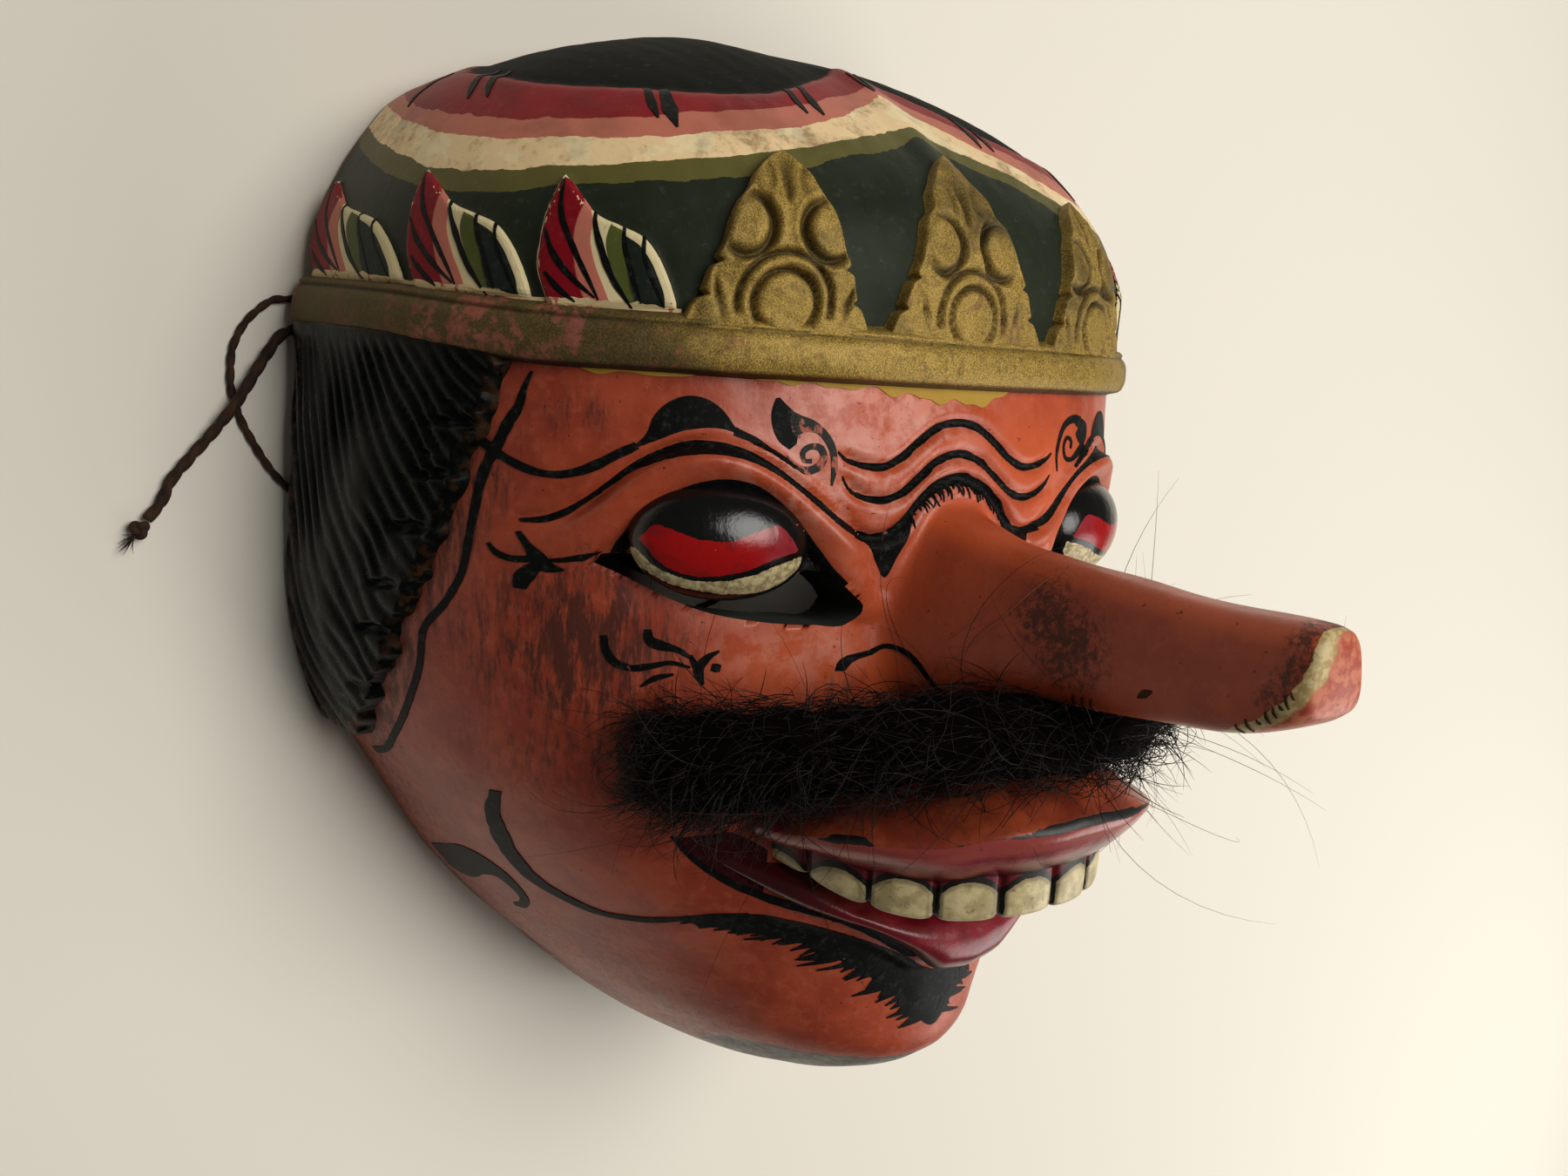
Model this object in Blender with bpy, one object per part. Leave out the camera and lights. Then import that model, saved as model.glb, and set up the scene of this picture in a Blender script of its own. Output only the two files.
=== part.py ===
"""Long-nosed painted wooden dance mask with a fur moustache and a tie cord.

The mask lies on its back rim: +Z points out of the face, +Y to the crown, +X to the viewer's right,
and the origin is under the middle of the rim. All named sizes are in millimetres; MM turns them
to metres where a mesh is made. Run with: blender --background --python part.py
"""
import math

import bmesh
import bpy
import numpy as np
from mathutils import Euler, Vector

MM = 0.001
GAP = 0.3                      # clearance between pieces that touch

# ---- driving dimensions of the carved shell ----
HALF_HEIGHT = 94.5             # crown and chin are this far from the middle
WALL = 7.0                     # wall at the rim
FRONT_WALL = 10.0              # wall behind the face
# Stations down the face, (y, size). The sizes are full radii of an oval as tall as the mask.
SIDE_STATIONS = [(-94.5, 64), (-86.5, 58), (-76.5, 57.5), (-66.5, 61.5), (-55.5, 65), (-44.5, 67.5),
                 (-33.5, 70.5), (-24.5, 73.5), (-8.5, 75.5), (6.5, 76), (28.5, 79), (43.5, 84),
                 (59.5, 91), (70.5, 97), (78.5, 102), (84.5, 101), (94.5, 100)]
FRONT_STATIONS = [(-94.5, 102), (-90, 126), (-82, 134), (-74, 129), (-64, 113), (-56, 103), (-44, 95),
                  (-30, 86), (-12, 80), (0, 79), (15.5, 81.5), (23.5, 82.5), (33.5, 84.5), (43.5, 88.5),
                  (53.5, 94), (63.5, 98), (69.5, 99), (79.5, 100), (85, 101.5), (88.5, 102.5), (94.5, 105)]
SQUARE_STATIONS = [(-94.5, 1.95), (-60, 1.95), (-30, 2.25), (0, 2.4), (45, 2.55), (70, 2.8), (94.5, 3.0)]

# ---- forehead band, hair and eyes ----
BAND_TOP = 43.0
BAND_LOW_CENTRE = 33.8         # the band narrows from its middle to its ends
BAND_LOW_END = 37.5
BAND_RISE = 3.0
HAIR_RISE = 2.6
HAIR_TOP, HAIR_LOW = 36.0, -27.0
HAIR_EDGE = [(-27, 18), (-20, 25), (-11, 32.5), (-2, 37), (6.6, 42.5), (20, 49), (34, 53), (45, 54)]
EYE = (38.0, 12.0)             # middle of the eyeball, x and y
EYE_RADII = (13.2, 8.6, 6.6)
SOCKET_DEPTH = 3.0
LID_RISE = 2.2
# The slit that the wearer sees through, a crescent under the eyeball, (x, y) on the right side
SLIT_LOWER = [(53.0, 8.2), (47.5, 4.9), (41.0, 1.9), (33.0, 0.4), (25.0, -0.2), (18.6, 0.0), (16.8, 1.8)]
SLIT_UPPER = [(17.0, 3.8), (21.4, 6.4), (26.0, 7.6), (30.0, 5.6), (36.5, 4.4), (44.0, 6.0), (49.5, 8.2)]

# ---- nose: (z, top y, bottom y, half-width at the bottom, half-width at the top) ----
NOSE_STATIONS = [(72, 20.5, -15, 18.5, 10.5), (78, 18.4, -13.4, 16, 8.6), (84, 15.8, -11.6, 13.4, 6.8),
                 (96, 12.9, -9, 10.6, 5.4), (110, 11.9, -6.6, 9.2, 4.8), (126, 11.0, -4.6, 8.6, 4.6),
                 (136, 10.5, -2.4, 8.2, 4.5), (142, 9.8, 0.4, 7.2, 4.2), (145.0, 7.8, 3.0, 4.4, 2.8)]

# ---- mouth: arcs seen from below, (half-width, z at the corners, z at the front) ----
UPPER_ARC = (33.5, 74.0, 114.0)
TEETH_ARC = (29.0, 74.0, 106.0)
LOWER_ARC = (32.0, 69.5, 92.0)
LIP_EDGE_Y = [(0, -21.5), (25, -22.2), (45, -24.8), (64, -28), (77, -31.3), (90, -34.4)]   # degrees, y
TEETH_TOP_Y = [(0, -33.0), (57, -33.6), (75, -34.4), (90, -36.2)]
TEETH_LOW_Y = [(0, -38.8), (40, -39.4), (57, -38.6), (75, -37.2), (90, -37.8)]
LOWER_TOP_Y = [(0, -46.4), (22, -45.0), (39, -42.3), (61, -38.0), (90, -36.4)]
LOWER_LOW_Y = [(0, -54.6), (11, -51.6), (28, -46.2), (44, -42.0), (61, -39.2), (90, -37.6)]
TOOTH_STEP = 18.6              # degrees between the gaps of the teeth

# ---- crown leaves, in degrees round the shell: (from, to, tip angle, tip y, rise) ----
GOLD_LEAVES = [(-12.0, 12.0, 0.0, 70.0, 1.8), (12.4, 34.0, 22.5, 67.0, 1.8)]

# ---- moustache: (x, y, z, half-height, half-depth), from its middle to an end ----
FUR_STATIONS = [(0, -12.2, 110, 7.2, 7.5), (13, -12.8, 105.5, 7.4, 7.5), (26, -15.2, 94, 7.6, 7.0),
                (36, -17.4, 83, 8.6, 6.0), (44, -19.2, 72.5, 8.8, 4.6), (48.5, -19.2, 65.5, 4.5, 2.6)]

# ---- cords ----
HOLE_Y, HOLE_Z, HOLE_RADIUS = 36.3, 6.0, 1.2
RIM_ARCH_Y, RIM_ARCH_HALF, RIM_ARCH_RISE = 29.0, 31.0, 3.6   # the rim clears the cords by this much
CORD_RADIUS = 0.65
TAIL_RADIUS = 0.95
KNOT_RADIUS = 1.5
CORD_ROUTE = [(-66.5, 36.3, 5.6), (-66.6, 38.6, 3.2), (-69.0, 41.6, 1.5), (-73.5, 43.6, 0.8),
              (-78.9, 43.4, 0.7), (-82.3, 41.2, 0.7), (-84.8, 38.0, 0.7), (-86.2, 34.0, 0.7),
              (-86.4, 29.8, 0.7), (-85.4, 25.2, 0.7), (-83.0, 20.0, 0.7), (-80.0, 15.2, 0.7),
              (-75.6, 10.6, 0.7), (-67.0, 4.0, 0.7), (-54.0, -3.5, 0.7), (-38.0, -10.0, 0.7),
              (-20.0, -14.6, 0.7), (-2.0, -14.8, 0.7), (16.0, -10.0, 0.7), (33.0, -1.0, 0.7),
              (47.0, 10.5, 0.7), (57.5, 22.5, 0.9), (63.6, 31.0, 2.6), (66.5, 36.3, 5.6)]
TAIL_ROUTE = [(-64.8, 32.8, 5.4), (-65.4, 35.0, 3.6), (-67.6, 37.6, 1.7), (-72.0, 39.4, 1.15),
              (-77.8, 38.2, 1.25), (-81.4, 34.0, 2.1), (-83.7, 30.5, 2.85), (-85.4, 27.7, 3.05),
              (-87.3, 24.9, 2.85), (-89.8, 21.4, 2.0), (-93.0, 17.4, 1.2), (-95.8, 13.8, 1.15),
              (-97.2, 10.6, 1.15), (-99.4, 7.8, 1.15)]


def smooth(stations, at):
    """Read a curve that passes through the stations without overshooting them."""
    known, values = np.array(sorted(stations), float).T
    step = np.diff(known)
    slope = np.diff(values) / step
    tangent = np.concatenate(([slope[0]], np.zeros(len(slope) - 1), [slope[-1]]))
    same_way = slope[:-1] * slope[1:] > 0
    before, after = 2 * step[1:] + step[:-1], step[1:] + 2 * step[:-1]
    mean = (before + after) / (before / np.where(same_way, slope[:-1], 1)
                               + after / np.where(same_way, slope[1:], 1))
    tangent[1:-1] = np.where(same_way, mean, 0)
    index = np.clip(np.searchsorted(known, at) - 1, 0, len(step) - 1)
    t = np.clip((at - known[index]) / step[index], 0, 1)
    bend = (2 * t**3 - 3 * t**2 + 1) * values[index] + (3 * t**2 - 2 * t**3) * values[index + 1]
    return bend + step[index] * ((t**3 - 2 * t**2 + t) * tangent[index] + (t**3 - t**2) * tangent[index + 1])


def ramp(low, high, value):
    """Go from 0 at low to 1 at high, with soft ends."""
    t = np.clip((value - low) / (high - low), 0, 1)
    return t * t * (3 - 2 * t)


def shell_point(angle, y, inset=0.0, depth_inset=None):
    """Base surface: at each height a superellipse, as wide as the side and as deep as the front."""
    depth_inset = inset if depth_inset is None else depth_inset
    half = HALF_HEIGHT - inset
    oval = np.sqrt(np.clip(half**2 - y**2, 0, None)) / half
    at = y * HALF_HEIGHT / half
    width = smooth(SIDE_STATIONS, at) * oval - inset * oval
    depth = smooth(FRONT_STATIONS, at) * oval - depth_inset * oval
    power = smooth(SQUARE_STATIONS, at)
    s, c = np.sin(angle), np.cos(angle)
    reach = (np.abs(s)**power + np.abs(c)**power)**(-1 / power)
    return np.stack([width * s * reach, y + 0 * s, depth * c * reach], -1)


def relief(point):
    """Height of the larger carving above the base surface, in millimetres."""
    x, y, z = np.abs(point[..., 0]), point[..., 1], point[..., 2]
    band_low = BAND_LOW_CENTRE + (BAND_LOW_END - BAND_LOW_CENTRE) * ramp(0, 62, x)
    middle = (BAND_TOP + band_low) / 2
    across = np.abs(y - middle) / ((BAND_TOP - band_low) / 2)
    band = BAND_RISE * ramp(1.12, 0.72, across)
    edge = smooth(HAIR_EDGE, y)
    hair = HAIR_RISE * ramp(4, -4, z - edge) * ramp(HAIR_LOW - 1, HAIR_LOW + 1.5, y) * (y < HAIR_TOP + 2)
    ex, ey = x - EYE[0], y - EYE[1]
    radius = np.hypot(ex / 18.5, (ey + 0.1 * ex) / 13.0)
    socket = -SOCKET_DEPTH * ramp(1.05, 0.3, radius)
    lid = LID_RISE * np.exp(-((radius - 0.98) / 0.24)**2) * ramp(-4, 6, ey)
    front = (z > 20) & (y < BAND_LOW_CENTRE)
    crest = 0.8 * np.exp(-(x / 14)**2) * ramp(60, 74, y) * ramp(96, 88, y)
    return band + hair + np.where(front, socket + lid, 0) + crest


def face_point(angle, y, grow=0.0):
    """Carved surface: the base surface moved out along its normal by the relief."""
    point = shell_point(angle, y)
    tiny = 0.01
    round_way = shell_point(angle + tiny, y) - shell_point(angle - tiny, y)
    tall_way = shell_point(angle, y + tiny) - shell_point(angle, y - tiny)
    normal = np.cross(round_way, tall_way)
    normal /= np.maximum(np.linalg.norm(normal, axis=-1, keepdims=True), 1e-9)
    normal *= np.sign((normal * point).sum(-1, keepdims=True))
    moved = point + normal * (relief(point) + grow)[..., None]
    at_rim = np.abs(np.abs(angle) - math.pi / 2) < 1e-6
    moved[..., 2] = np.where(at_rim, 0.0, np.maximum(moved[..., 2], 0.15))
    return moved


def make_material(name, colour, roughness, metallic=0.0):
    material = bpy.data.materials.new(name)
    material.use_nodes = True
    shader = material.node_tree.nodes["Principled BSDF"]
    shader.inputs["Base Color"].default_value = (*colour, 1.0)
    shader.inputs["Roughness"].default_value = roughness
    shader.inputs["Metallic"].default_value = metallic
    material.diffuse_color = (*colour, 1.0)
    return material


def new_object(name, mesh, collection, material=None):
    thing = bpy.data.objects.new(name, mesh)
    collection.objects.link(thing)
    if material:
        thing.data.materials.append(material)
    if collection.name == "cutters":
        thing.hide_render = True
        thing.display_type = "WIRE"
    return thing


def loft(name, rings, collection, material=None, merge=False):
    """Skin closed rings of equal count; flat ends are capped, ends shrunk to points are merged."""
    count = len(rings[0])
    points = [tuple(p * MM) for ring in rings for p in ring]
    faces = []
    for r in range(len(rings) - 1):
        for i in range(count):
            j = (i + 1) % count
            faces.append((r * count + i, r * count + j, (r + 1) * count + j, (r + 1) * count + i))
    if not merge:
        faces.append(tuple(range(count)))
        faces.append(tuple(range(len(points) - count, len(points))))
    mesh = bpy.data.meshes.new(name)
    mesh.from_pydata(points, [], faces)
    shape = bmesh.new()
    shape.from_mesh(mesh)
    if merge:
        bmesh.ops.remove_doubles(shape, verts=shape.verts, dist=0.00001)
    bmesh.ops.triangulate(shape, faces=[f for f in shape.faces if len(f.verts) > 3])
    bmesh.ops.recalc_face_normals(shape, faces=shape.faces)
    shape.to_mesh(mesh)
    shape.free()
    return new_object(name, mesh, collection, material)


def boolean(target, tool, operation):
    cut = target.modifiers.new(tool.name, "BOOLEAN")
    cut.operation = operation
    cut.solver = "EXACT"
    cut.object = tool


def shell_rows():
    """Heights of the shell's rows: close at the band's edges and towards the crown and chin."""
    ends = HALF_HEIGHT * np.sin(np.radians([-86, -80, -73, -66]))
    face = np.linspace(-80, 30, 27)
    band = np.array([33.0, 34.6, 36.4, 38.4, 40.6, 42.4, 43.8])
    cloth = np.linspace(48, 83, 8)
    crown = HALF_HEIGHT * np.sin(np.radians([65.5, 70, 75, 80, 85.5]))
    return np.concatenate([ends, face, band, cloth, crown])


def shell(collection, material, columns=33, inner_columns=11):
    """Carved front and hollow back as one wall: each ring runs round the front and back inside."""
    angles = np.linspace(-math.pi / 2, math.pi / 2, columns)
    inner_angles = np.linspace(math.pi / 2, -math.pi / 2, inner_columns)
    inner_scale = (HALF_HEIGHT - WALL) / HALF_HEIGHT
    rings = []
    for y in shell_rows():
        front = face_point(angles, np.full_like(angles, y))
        back = shell_point(inner_angles, np.full_like(inner_angles, y * inner_scale), WALL, FRONT_WALL)
        back[[0, -1], 2] = 0.0
        rings.append(np.vstack([front, back]))
    pole = [np.vstack([np.tile((0, end * HALF_HEIGHT, 0), (columns, 1)),
                       np.tile((0, end * (HALF_HEIGHT - WALL), 0), (inner_columns, 1))]) for end in (-1, 1)]
    return loft("mask", [pole[0]] + rings + [pole[1]], collection, material, merge=True)


def cheeks(collection, grow):
    """Middle part of the front, moved out a little, to clear the fur from the face."""
    angles = np.linspace(-math.pi / 2, math.pi / 2, 31)
    rings = [face_point(angles, np.full_like(angles, y), grow) for y in range(-62, 25, 4)]
    return loft("grown_cheeks", rings, collection)


def nose(collection, grow=0.0):
    """Flat-sided beam with a rounded ridge: twenty points round, flared where it joins the face."""
    turn = np.radians(np.arange(0, 360, 18))
    rings = []
    for z, top, low, wide, narrow in NOSE_STATIONS:
        up = np.sign(np.sin(turn)) * np.abs(np.sin(turn))**0.8
        side = np.sign(np.cos(turn)) * np.abs(np.cos(turn))**0.6
        half = (top - low) / 2 + grow
        width = (wide + narrow) / 2 - (wide - narrow) / 2 * up + grow
        rings.append(np.stack([width * side, (top + low) / 2 + half * up, np.full_like(turn, z + grow)], -1))
    return loft("nose" if grow == 0 else "grown_nose", rings, collection)


def along_arc(arc, degrees, inwards=0.0):
    half_width, corner, front = arc
    t = math.radians(degrees)
    return (half_width - inwards) * math.sin(t), corner + (front - corner - inwards) * math.cos(t)


def lip_section(degrees, grow=0.0):
    """Upper lip: a slope from under the nose out to a sharp edge, and back under to the teeth."""
    edge = smooth(LIP_EDGE_Y, abs(degrees))
    fade = math.cos(math.radians(min(abs(degrees), 88)))**0.5
    profile = [(26, 10.5 * fade), (13, 8.0 * fade), (5, 3.6 * fade), (0, 0.6), (0.2, -0.7),
               (3.5, -5.0 * fade - 1), (7.5, -9.6 * fade - 1), (26, -10.4 * fade - 1)]
    points = []
    for inwards, up in profile:
        x, z = along_arc(UPPER_ARC, degrees, min(inwards, 30) - grow)
        points.append((x, edge + up + (grow if up > 0 else -grow), z))
    return np.array(points)


def teeth_section(degrees):
    """Row of teeth: an upright slab, drawn in slightly at the gaps."""
    top, low = smooth(TEETH_TOP_Y, abs(degrees)), smooth(TEETH_LOW_Y, abs(degrees))
    in_gap = abs(degrees / TOOTH_STEP - round(degrees / TOOTH_STEP)) < 0.02
    step = 0.9 if in_gap else 0.0
    points = []
    for inwards, y in [(12, top + 2), (step, top + 1), (step - 0.3, (top + low) / 2),
                       (step + 0.2, low + 0.6 + step / 2), (step + 1.2, low + step / 2), (12, low + step / 2)]:
        x, z = along_arc(TEETH_ARC, degrees, inwards)
        points.append((x, y, z))
    return np.array(points)


def lower_lip_section(degrees):
    """Lower lip: a rounded bar that fills out towards the middle."""
    top, low = smooth(LOWER_TOP_Y, abs(degrees)), smooth(LOWER_LOW_Y, abs(degrees))
    middle, half = (top + low) / 2, (top - low) / 2 + 0.6
    points = []
    for inwards, up in [(12, 1.1), (5, 1.15), (1.6, 0.8), (0, 0.1), (0.2, -0.5), (2.2, -1.1), (12, -1.3)]:
        x, z = along_arc(LOWER_ARC, degrees, inwards)
        points.append((x, middle + up * half, z))
    return np.array(points)


def eyeball(side, collection):
    bpy.ops.mesh.primitive_uv_sphere_add(segments=16, ring_count=10, radius=1.0)
    ball = bpy.context.object
    ball.name = "eyeball_right" if side > 0 else "eyeball_left"
    surface = shell_point(np.array(side * 0.47), np.array(EYE[1]))
    ball.scale = np.array(EYE_RADII) * MM
    ball.rotation_euler = Euler((0, side * math.radians(20), side * math.radians(4)))
    ball.location = (side * EYE[0] * MM, EYE[1] * MM, (surface[2] - EYE_RADII[2] + 3.2) * MM)
    bpy.context.collection.objects.unlink(ball)
    collection.objects.link(ball)
    ball.hide_render, ball.display_type = True, "WIRE"
    return ball


def prism(name, outline, low, high, collection, axis="z"):
    """Straight block with a flat outline, along Z or along X."""
    def place(a, b, c):
        return (a, b, c) if axis == "z" else (c, a, b)
    rings = [np.array([place(a, b, c) for a, b in outline], float) for c in (low, high)]
    return loft(name, rings, collection)


def eye_slit(side, collection):
    outline = [(side * x, y) for x, y in SLIT_LOWER + SLIT_UPPER]
    return prism("slit_right" if side > 0 else "slit_left", outline, 30, 100, collection)


def cord_hole(side, collection):
    bpy.ops.mesh.primitive_cylinder_add(vertices=12, radius=HOLE_RADIUS * MM, depth=30 * MM)
    hole = bpy.context.object
    hole.name = "cord_hole_right" if side > 0 else "cord_hole_left"
    hole.rotation_euler = Euler((0, math.pi / 2, 0))
    hole.location = Vector((side * 72, HOLE_Y, HOLE_Z)) * MM
    bpy.context.collection.objects.unlink(hole)
    collection.objects.link(hole)
    hole.hide_render, hole.display_type = True, "WIRE"
    return hole


def leaf(name, start, end, tip, tip_y, rise, side, collection):
    """Leaf on the shell: wide at its foot, drawn in to a point, with a raised face."""
    rings = []
    for v in np.array([0, 0.2, 0.42, 0.64, 0.84, 0.97]):
        y = BAND_TOP - 2 + (tip_y - BAND_TOP + 2) * v
        middle = (start + end) / 2 + (tip - (start + end) / 2) * v**1.5
        half = (end - start) / 2 * (1 - v)**0.72 * (1 + 0.42 * v)
        angles = np.radians(side * np.linspace(middle - half, middle + half, 6))
        heights = np.full_like(angles, y)
        low = face_point(angles, heights, -2.0)
        swell = rise * (0.75 + 0.25 * np.sin(np.linspace(0, math.pi, 6)))
        high = shell_point(angles, heights)
        high = high + (face_point(angles, heights, 1.0) - face_point(angles, heights)) * swell[:, None]
        high += face_point(angles, heights) - shell_point(angles, heights)
        rings.append(np.vstack([low, high[::-1]]))
    return loft(name, rings, collection)


def moustache(collection, cutters, material):
    """Strip of fur laid along the top of the lip: an oval carried from cheek to cheek."""
    turn = np.radians(np.arange(0, 360, 30))
    right = np.array(FUR_STATIONS, float)
    left = right[::-1] * (-1, 1, 1, 1, 1)
    rows = np.vstack([left[:-1], right])
    path = rows[:, :3]
    forward = np.gradient(path, axis=0)
    rings = []
    for row, way in zip(rows, forward):
        out = np.cross(way, (0, 1, 0))
        out /= np.linalg.norm(out)
        out *= np.sign(out[2]) or 1
        ring = [row[:3] + np.array((0, 1, 0)) * math.sin(a) * row[3] + out * math.cos(a) * row[4] for a in turn]
        rings.append(np.array(ring))
    fur = loft("moustache", rings, collection, material)
    for blocker in (cheeks(cutters, GAP), nose(cutters, GAP),
                    loft("grown_lip", [lip_section(d, GAP) for d in range(-84, 85, 12)], cutters)):
        boolean(fur, blocker, "DIFFERENCE")
    return fur


def tube(name, route, radius, collection, material, spacing=3.0):
    """Round cord along a smooth curve through the route's points."""
    known = np.array(route, float)
    chord = np.concatenate([[0], np.cumsum(np.linalg.norm(np.diff(known, axis=0), axis=1))])
    at = np.linspace(0, chord[-1], int(chord[-1] / spacing) + 1)
    line = np.stack([smooth(list(zip(chord, known[:, k])), at) for k in range(3)], -1)
    curve = bpy.data.curves.new(name, "CURVE")
    curve.dimensions = "3D"
    curve.bevel_depth = radius * MM
    curve.bevel_resolution = 2
    curve.use_fill_caps = True
    spline = curve.splines.new("POLY")
    spline.points.add(len(line) - 1)
    for point, place in zip(spline.points, line):
        point.co = (*(place * MM), 1.0)
    return new_object(name, curve, collection, material)


def knot(collection, material):
    bpy.ops.mesh.primitive_uv_sphere_add(segments=14, ring_count=9, radius=KNOT_RADIUS * MM)
    thing = bpy.context.object
    thing.name = "cord_knot"
    end, before = np.array(TAIL_ROUTE[-1]), np.array(TAIL_ROUTE[-2])
    way = (end - before) / np.linalg.norm(end - before)
    place = end + way * (KNOT_RADIUS + GAP)
    thing.location = Vector((place[0], place[1], KNOT_RADIUS + 0.05)) * MM
    bpy.context.collection.objects.unlink(thing)
    collection.objects.link(thing)
    thing.data.materials.append(material)
    thing.data.shade_smooth()


def carve_mask(parts, cutters, wood):
    mask = shell(parts, wood)
    for side in (-1, 1):
        boolean(mask, eyeball(side, cutters), "UNION")
    removals = [eye_slit(side, cutters) for side in (-1, 1)]
    arch = [(RIM_ARCH_Y + RIM_ARCH_HALF * t, RIM_ARCH_RISE * (1 - t * t)) for t in np.linspace(-1, 1, 9)]
    arch += [(RIM_ARCH_Y + RIM_ARCH_HALF, -6), (RIM_ARCH_Y - RIM_ARCH_HALF, -6)]
    removals.append(prism("rim_arch", arch, -100, 100, cutters, axis="x"))
    removals += [cord_hole(side, cutters) for side in (-1, 1)]
    for removal in removals:
        boolean(mask, removal, "DIFFERENCE")
    gaps = [round(k * TOOTH_STEP + offset, 2) for k in range(-4, 5) for offset in (-1.6, 0, 1.6)]
    tooth_stations = [-80] + [d for d in gaps if abs(d) < 80] + [80]
    additions = [nose(cutters),
                 loft("upper_lip", [lip_section(d) for d in range(-84, 85, 12)], cutters),
                 loft("lower_lip", [lower_lip_section(d) for d in range(-80, 81, 10)], cutters),
                 loft("teeth", [teeth_section(d) for d in tooth_stations], cutters)]
    for number, leaf_size in enumerate(GOLD_LEAVES):
        for side in ((1,) if number == 0 else (-1, 1)):
            additions.append(leaf(f"leaf_{number}_{'right' if side > 0 else 'left'}", *leaf_size, side, cutters))
    for addition in additions:
        boolean(mask, addition, "UNION")
    return mask


def main():
    for thing in list(bpy.data.objects):
        bpy.data.objects.remove(thing, do_unlink=True)
    scene_root = bpy.context.scene.collection
    parts = bpy.data.collections.new("dance_mask")
    cutters = bpy.data.collections.new("cutters")
    scene_root.children.link(parts)
    scene_root.children.link(cutters)
    carve_mask(parts, cutters, make_material("painted_wood", (0.42, 0.09, 0.045), 0.45))
    moustache(parts, cutters, make_material("dark_fur", (0.012, 0.009, 0.008), 0.8))
    twine = make_material("brown_twine", (0.03, 0.015, 0.008), 0.85)
    tube("cord", CORD_ROUTE, CORD_RADIUS, parts, twine)
    tube("cord_tail", TAIL_ROUTE, TAIL_RADIUS, parts, twine)
    knot(parts, twine)


main()
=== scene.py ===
import math

import bpy
import numpy as np
from mathutils import Matrix, Vector
from mathutils.bvhtree import BVHTree


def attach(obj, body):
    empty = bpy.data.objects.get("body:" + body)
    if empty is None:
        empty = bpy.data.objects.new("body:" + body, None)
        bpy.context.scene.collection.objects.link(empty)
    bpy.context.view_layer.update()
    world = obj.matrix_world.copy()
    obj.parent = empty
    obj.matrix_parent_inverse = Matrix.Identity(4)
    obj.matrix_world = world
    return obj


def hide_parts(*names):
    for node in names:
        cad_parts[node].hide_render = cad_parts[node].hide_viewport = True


# A long-nosed painted wooden dance mask, lying on its back rim. Sizes are in millimetres
# and are turned to metres where a mesh is made: +X to the right, +Y to the crown, +Z out of the face.
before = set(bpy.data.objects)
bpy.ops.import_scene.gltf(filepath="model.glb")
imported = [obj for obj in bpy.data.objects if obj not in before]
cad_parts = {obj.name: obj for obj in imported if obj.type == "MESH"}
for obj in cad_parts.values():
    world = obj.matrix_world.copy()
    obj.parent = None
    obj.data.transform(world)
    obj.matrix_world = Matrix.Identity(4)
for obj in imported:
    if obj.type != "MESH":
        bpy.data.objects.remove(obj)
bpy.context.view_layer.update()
mm = 0.001
print("frame loaded with", ", ".join(sorted(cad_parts)))


def hermite(t, sizes, ways, index, step):
    # cubic from one known size to the next, t from 0 to 1 over a step, with the given slopes at its ends
    bend = (2 * t**3 - 3 * t**2 + 1) * sizes[index] + (3 * t**2 - 2 * t**3) * sizes[index + 1]
    return bend + step * ((t**3 - 2 * t**2 + t) * ways[index] + (t**3 - t**2) * ways[index + 1])


def smoothCurve(stations, at):
    # monotone Hermite curve through (place, size) stations; it never overshoots them
    known, sizes = np.array(sorted(stations), float).T
    step = np.diff(known)
    slope = np.diff(sizes) / step
    tangent = np.concatenate(([slope[0]], np.zeros(len(slope) - 1), [slope[-1]]))
    sameWay = slope[:-1] * slope[1:] > 0
    before, after = 2 * step[1:] + step[:-1], step[1:] + 2 * step[:-1]
    mean = (before + after) / (before / np.where(sameWay, slope[:-1], 1)
                               + after / np.where(sameWay, slope[1:], 1))
    tangent[1:-1] = np.where(sameWay, mean, 0)
    index = np.clip(np.searchsorted(known, at) - 1, 0, len(step) - 1)
    t = np.clip((at - known[index]) / step[index], 0, 1)
    return hermite(t, sizes, tangent, index, step[index])


def ramp(low, high, value):
    # 0 at low, 1 at high, with soft ends
    t = np.clip((value - low) / (high - low), 0, 1)
    return t * t * (3 - 2 * t)


def wobble(u, v, size, seed):
    # hand-made unevenness from about -1 to 1: six sine waves in seeded directions, 'size' mm long
    random = np.random.default_rng(seed)
    turns, phases = random.uniform(0, 2 * math.pi, (2, 6))
    total = 0.0
    for turn, phase, stretch in zip(turns, phases, random.uniform(0.7, 1.6, 6)):
        total = (total + np.sin((u * math.cos(turn) + v * math.sin(turn)) * 2 * math.pi / (size * stretch)
                                + phase))
    return total / 3.3


def runLength(line):
    # length along a line up to each of its points
    return np.concatenate([[0], np.cumsum(np.linalg.norm(np.diff(line, axis=0), axis=1))])


def unit(ways):
    return ways / np.maximum(np.linalg.norm(ways, axis=-1, keepdims=True), 1e-9)


def sideWays(way, reference):
    # two directions square to a way and to each other
    flatSide = unit(np.cross(way, reference))
    return flatSide, np.cross(flatSide, way)


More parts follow.
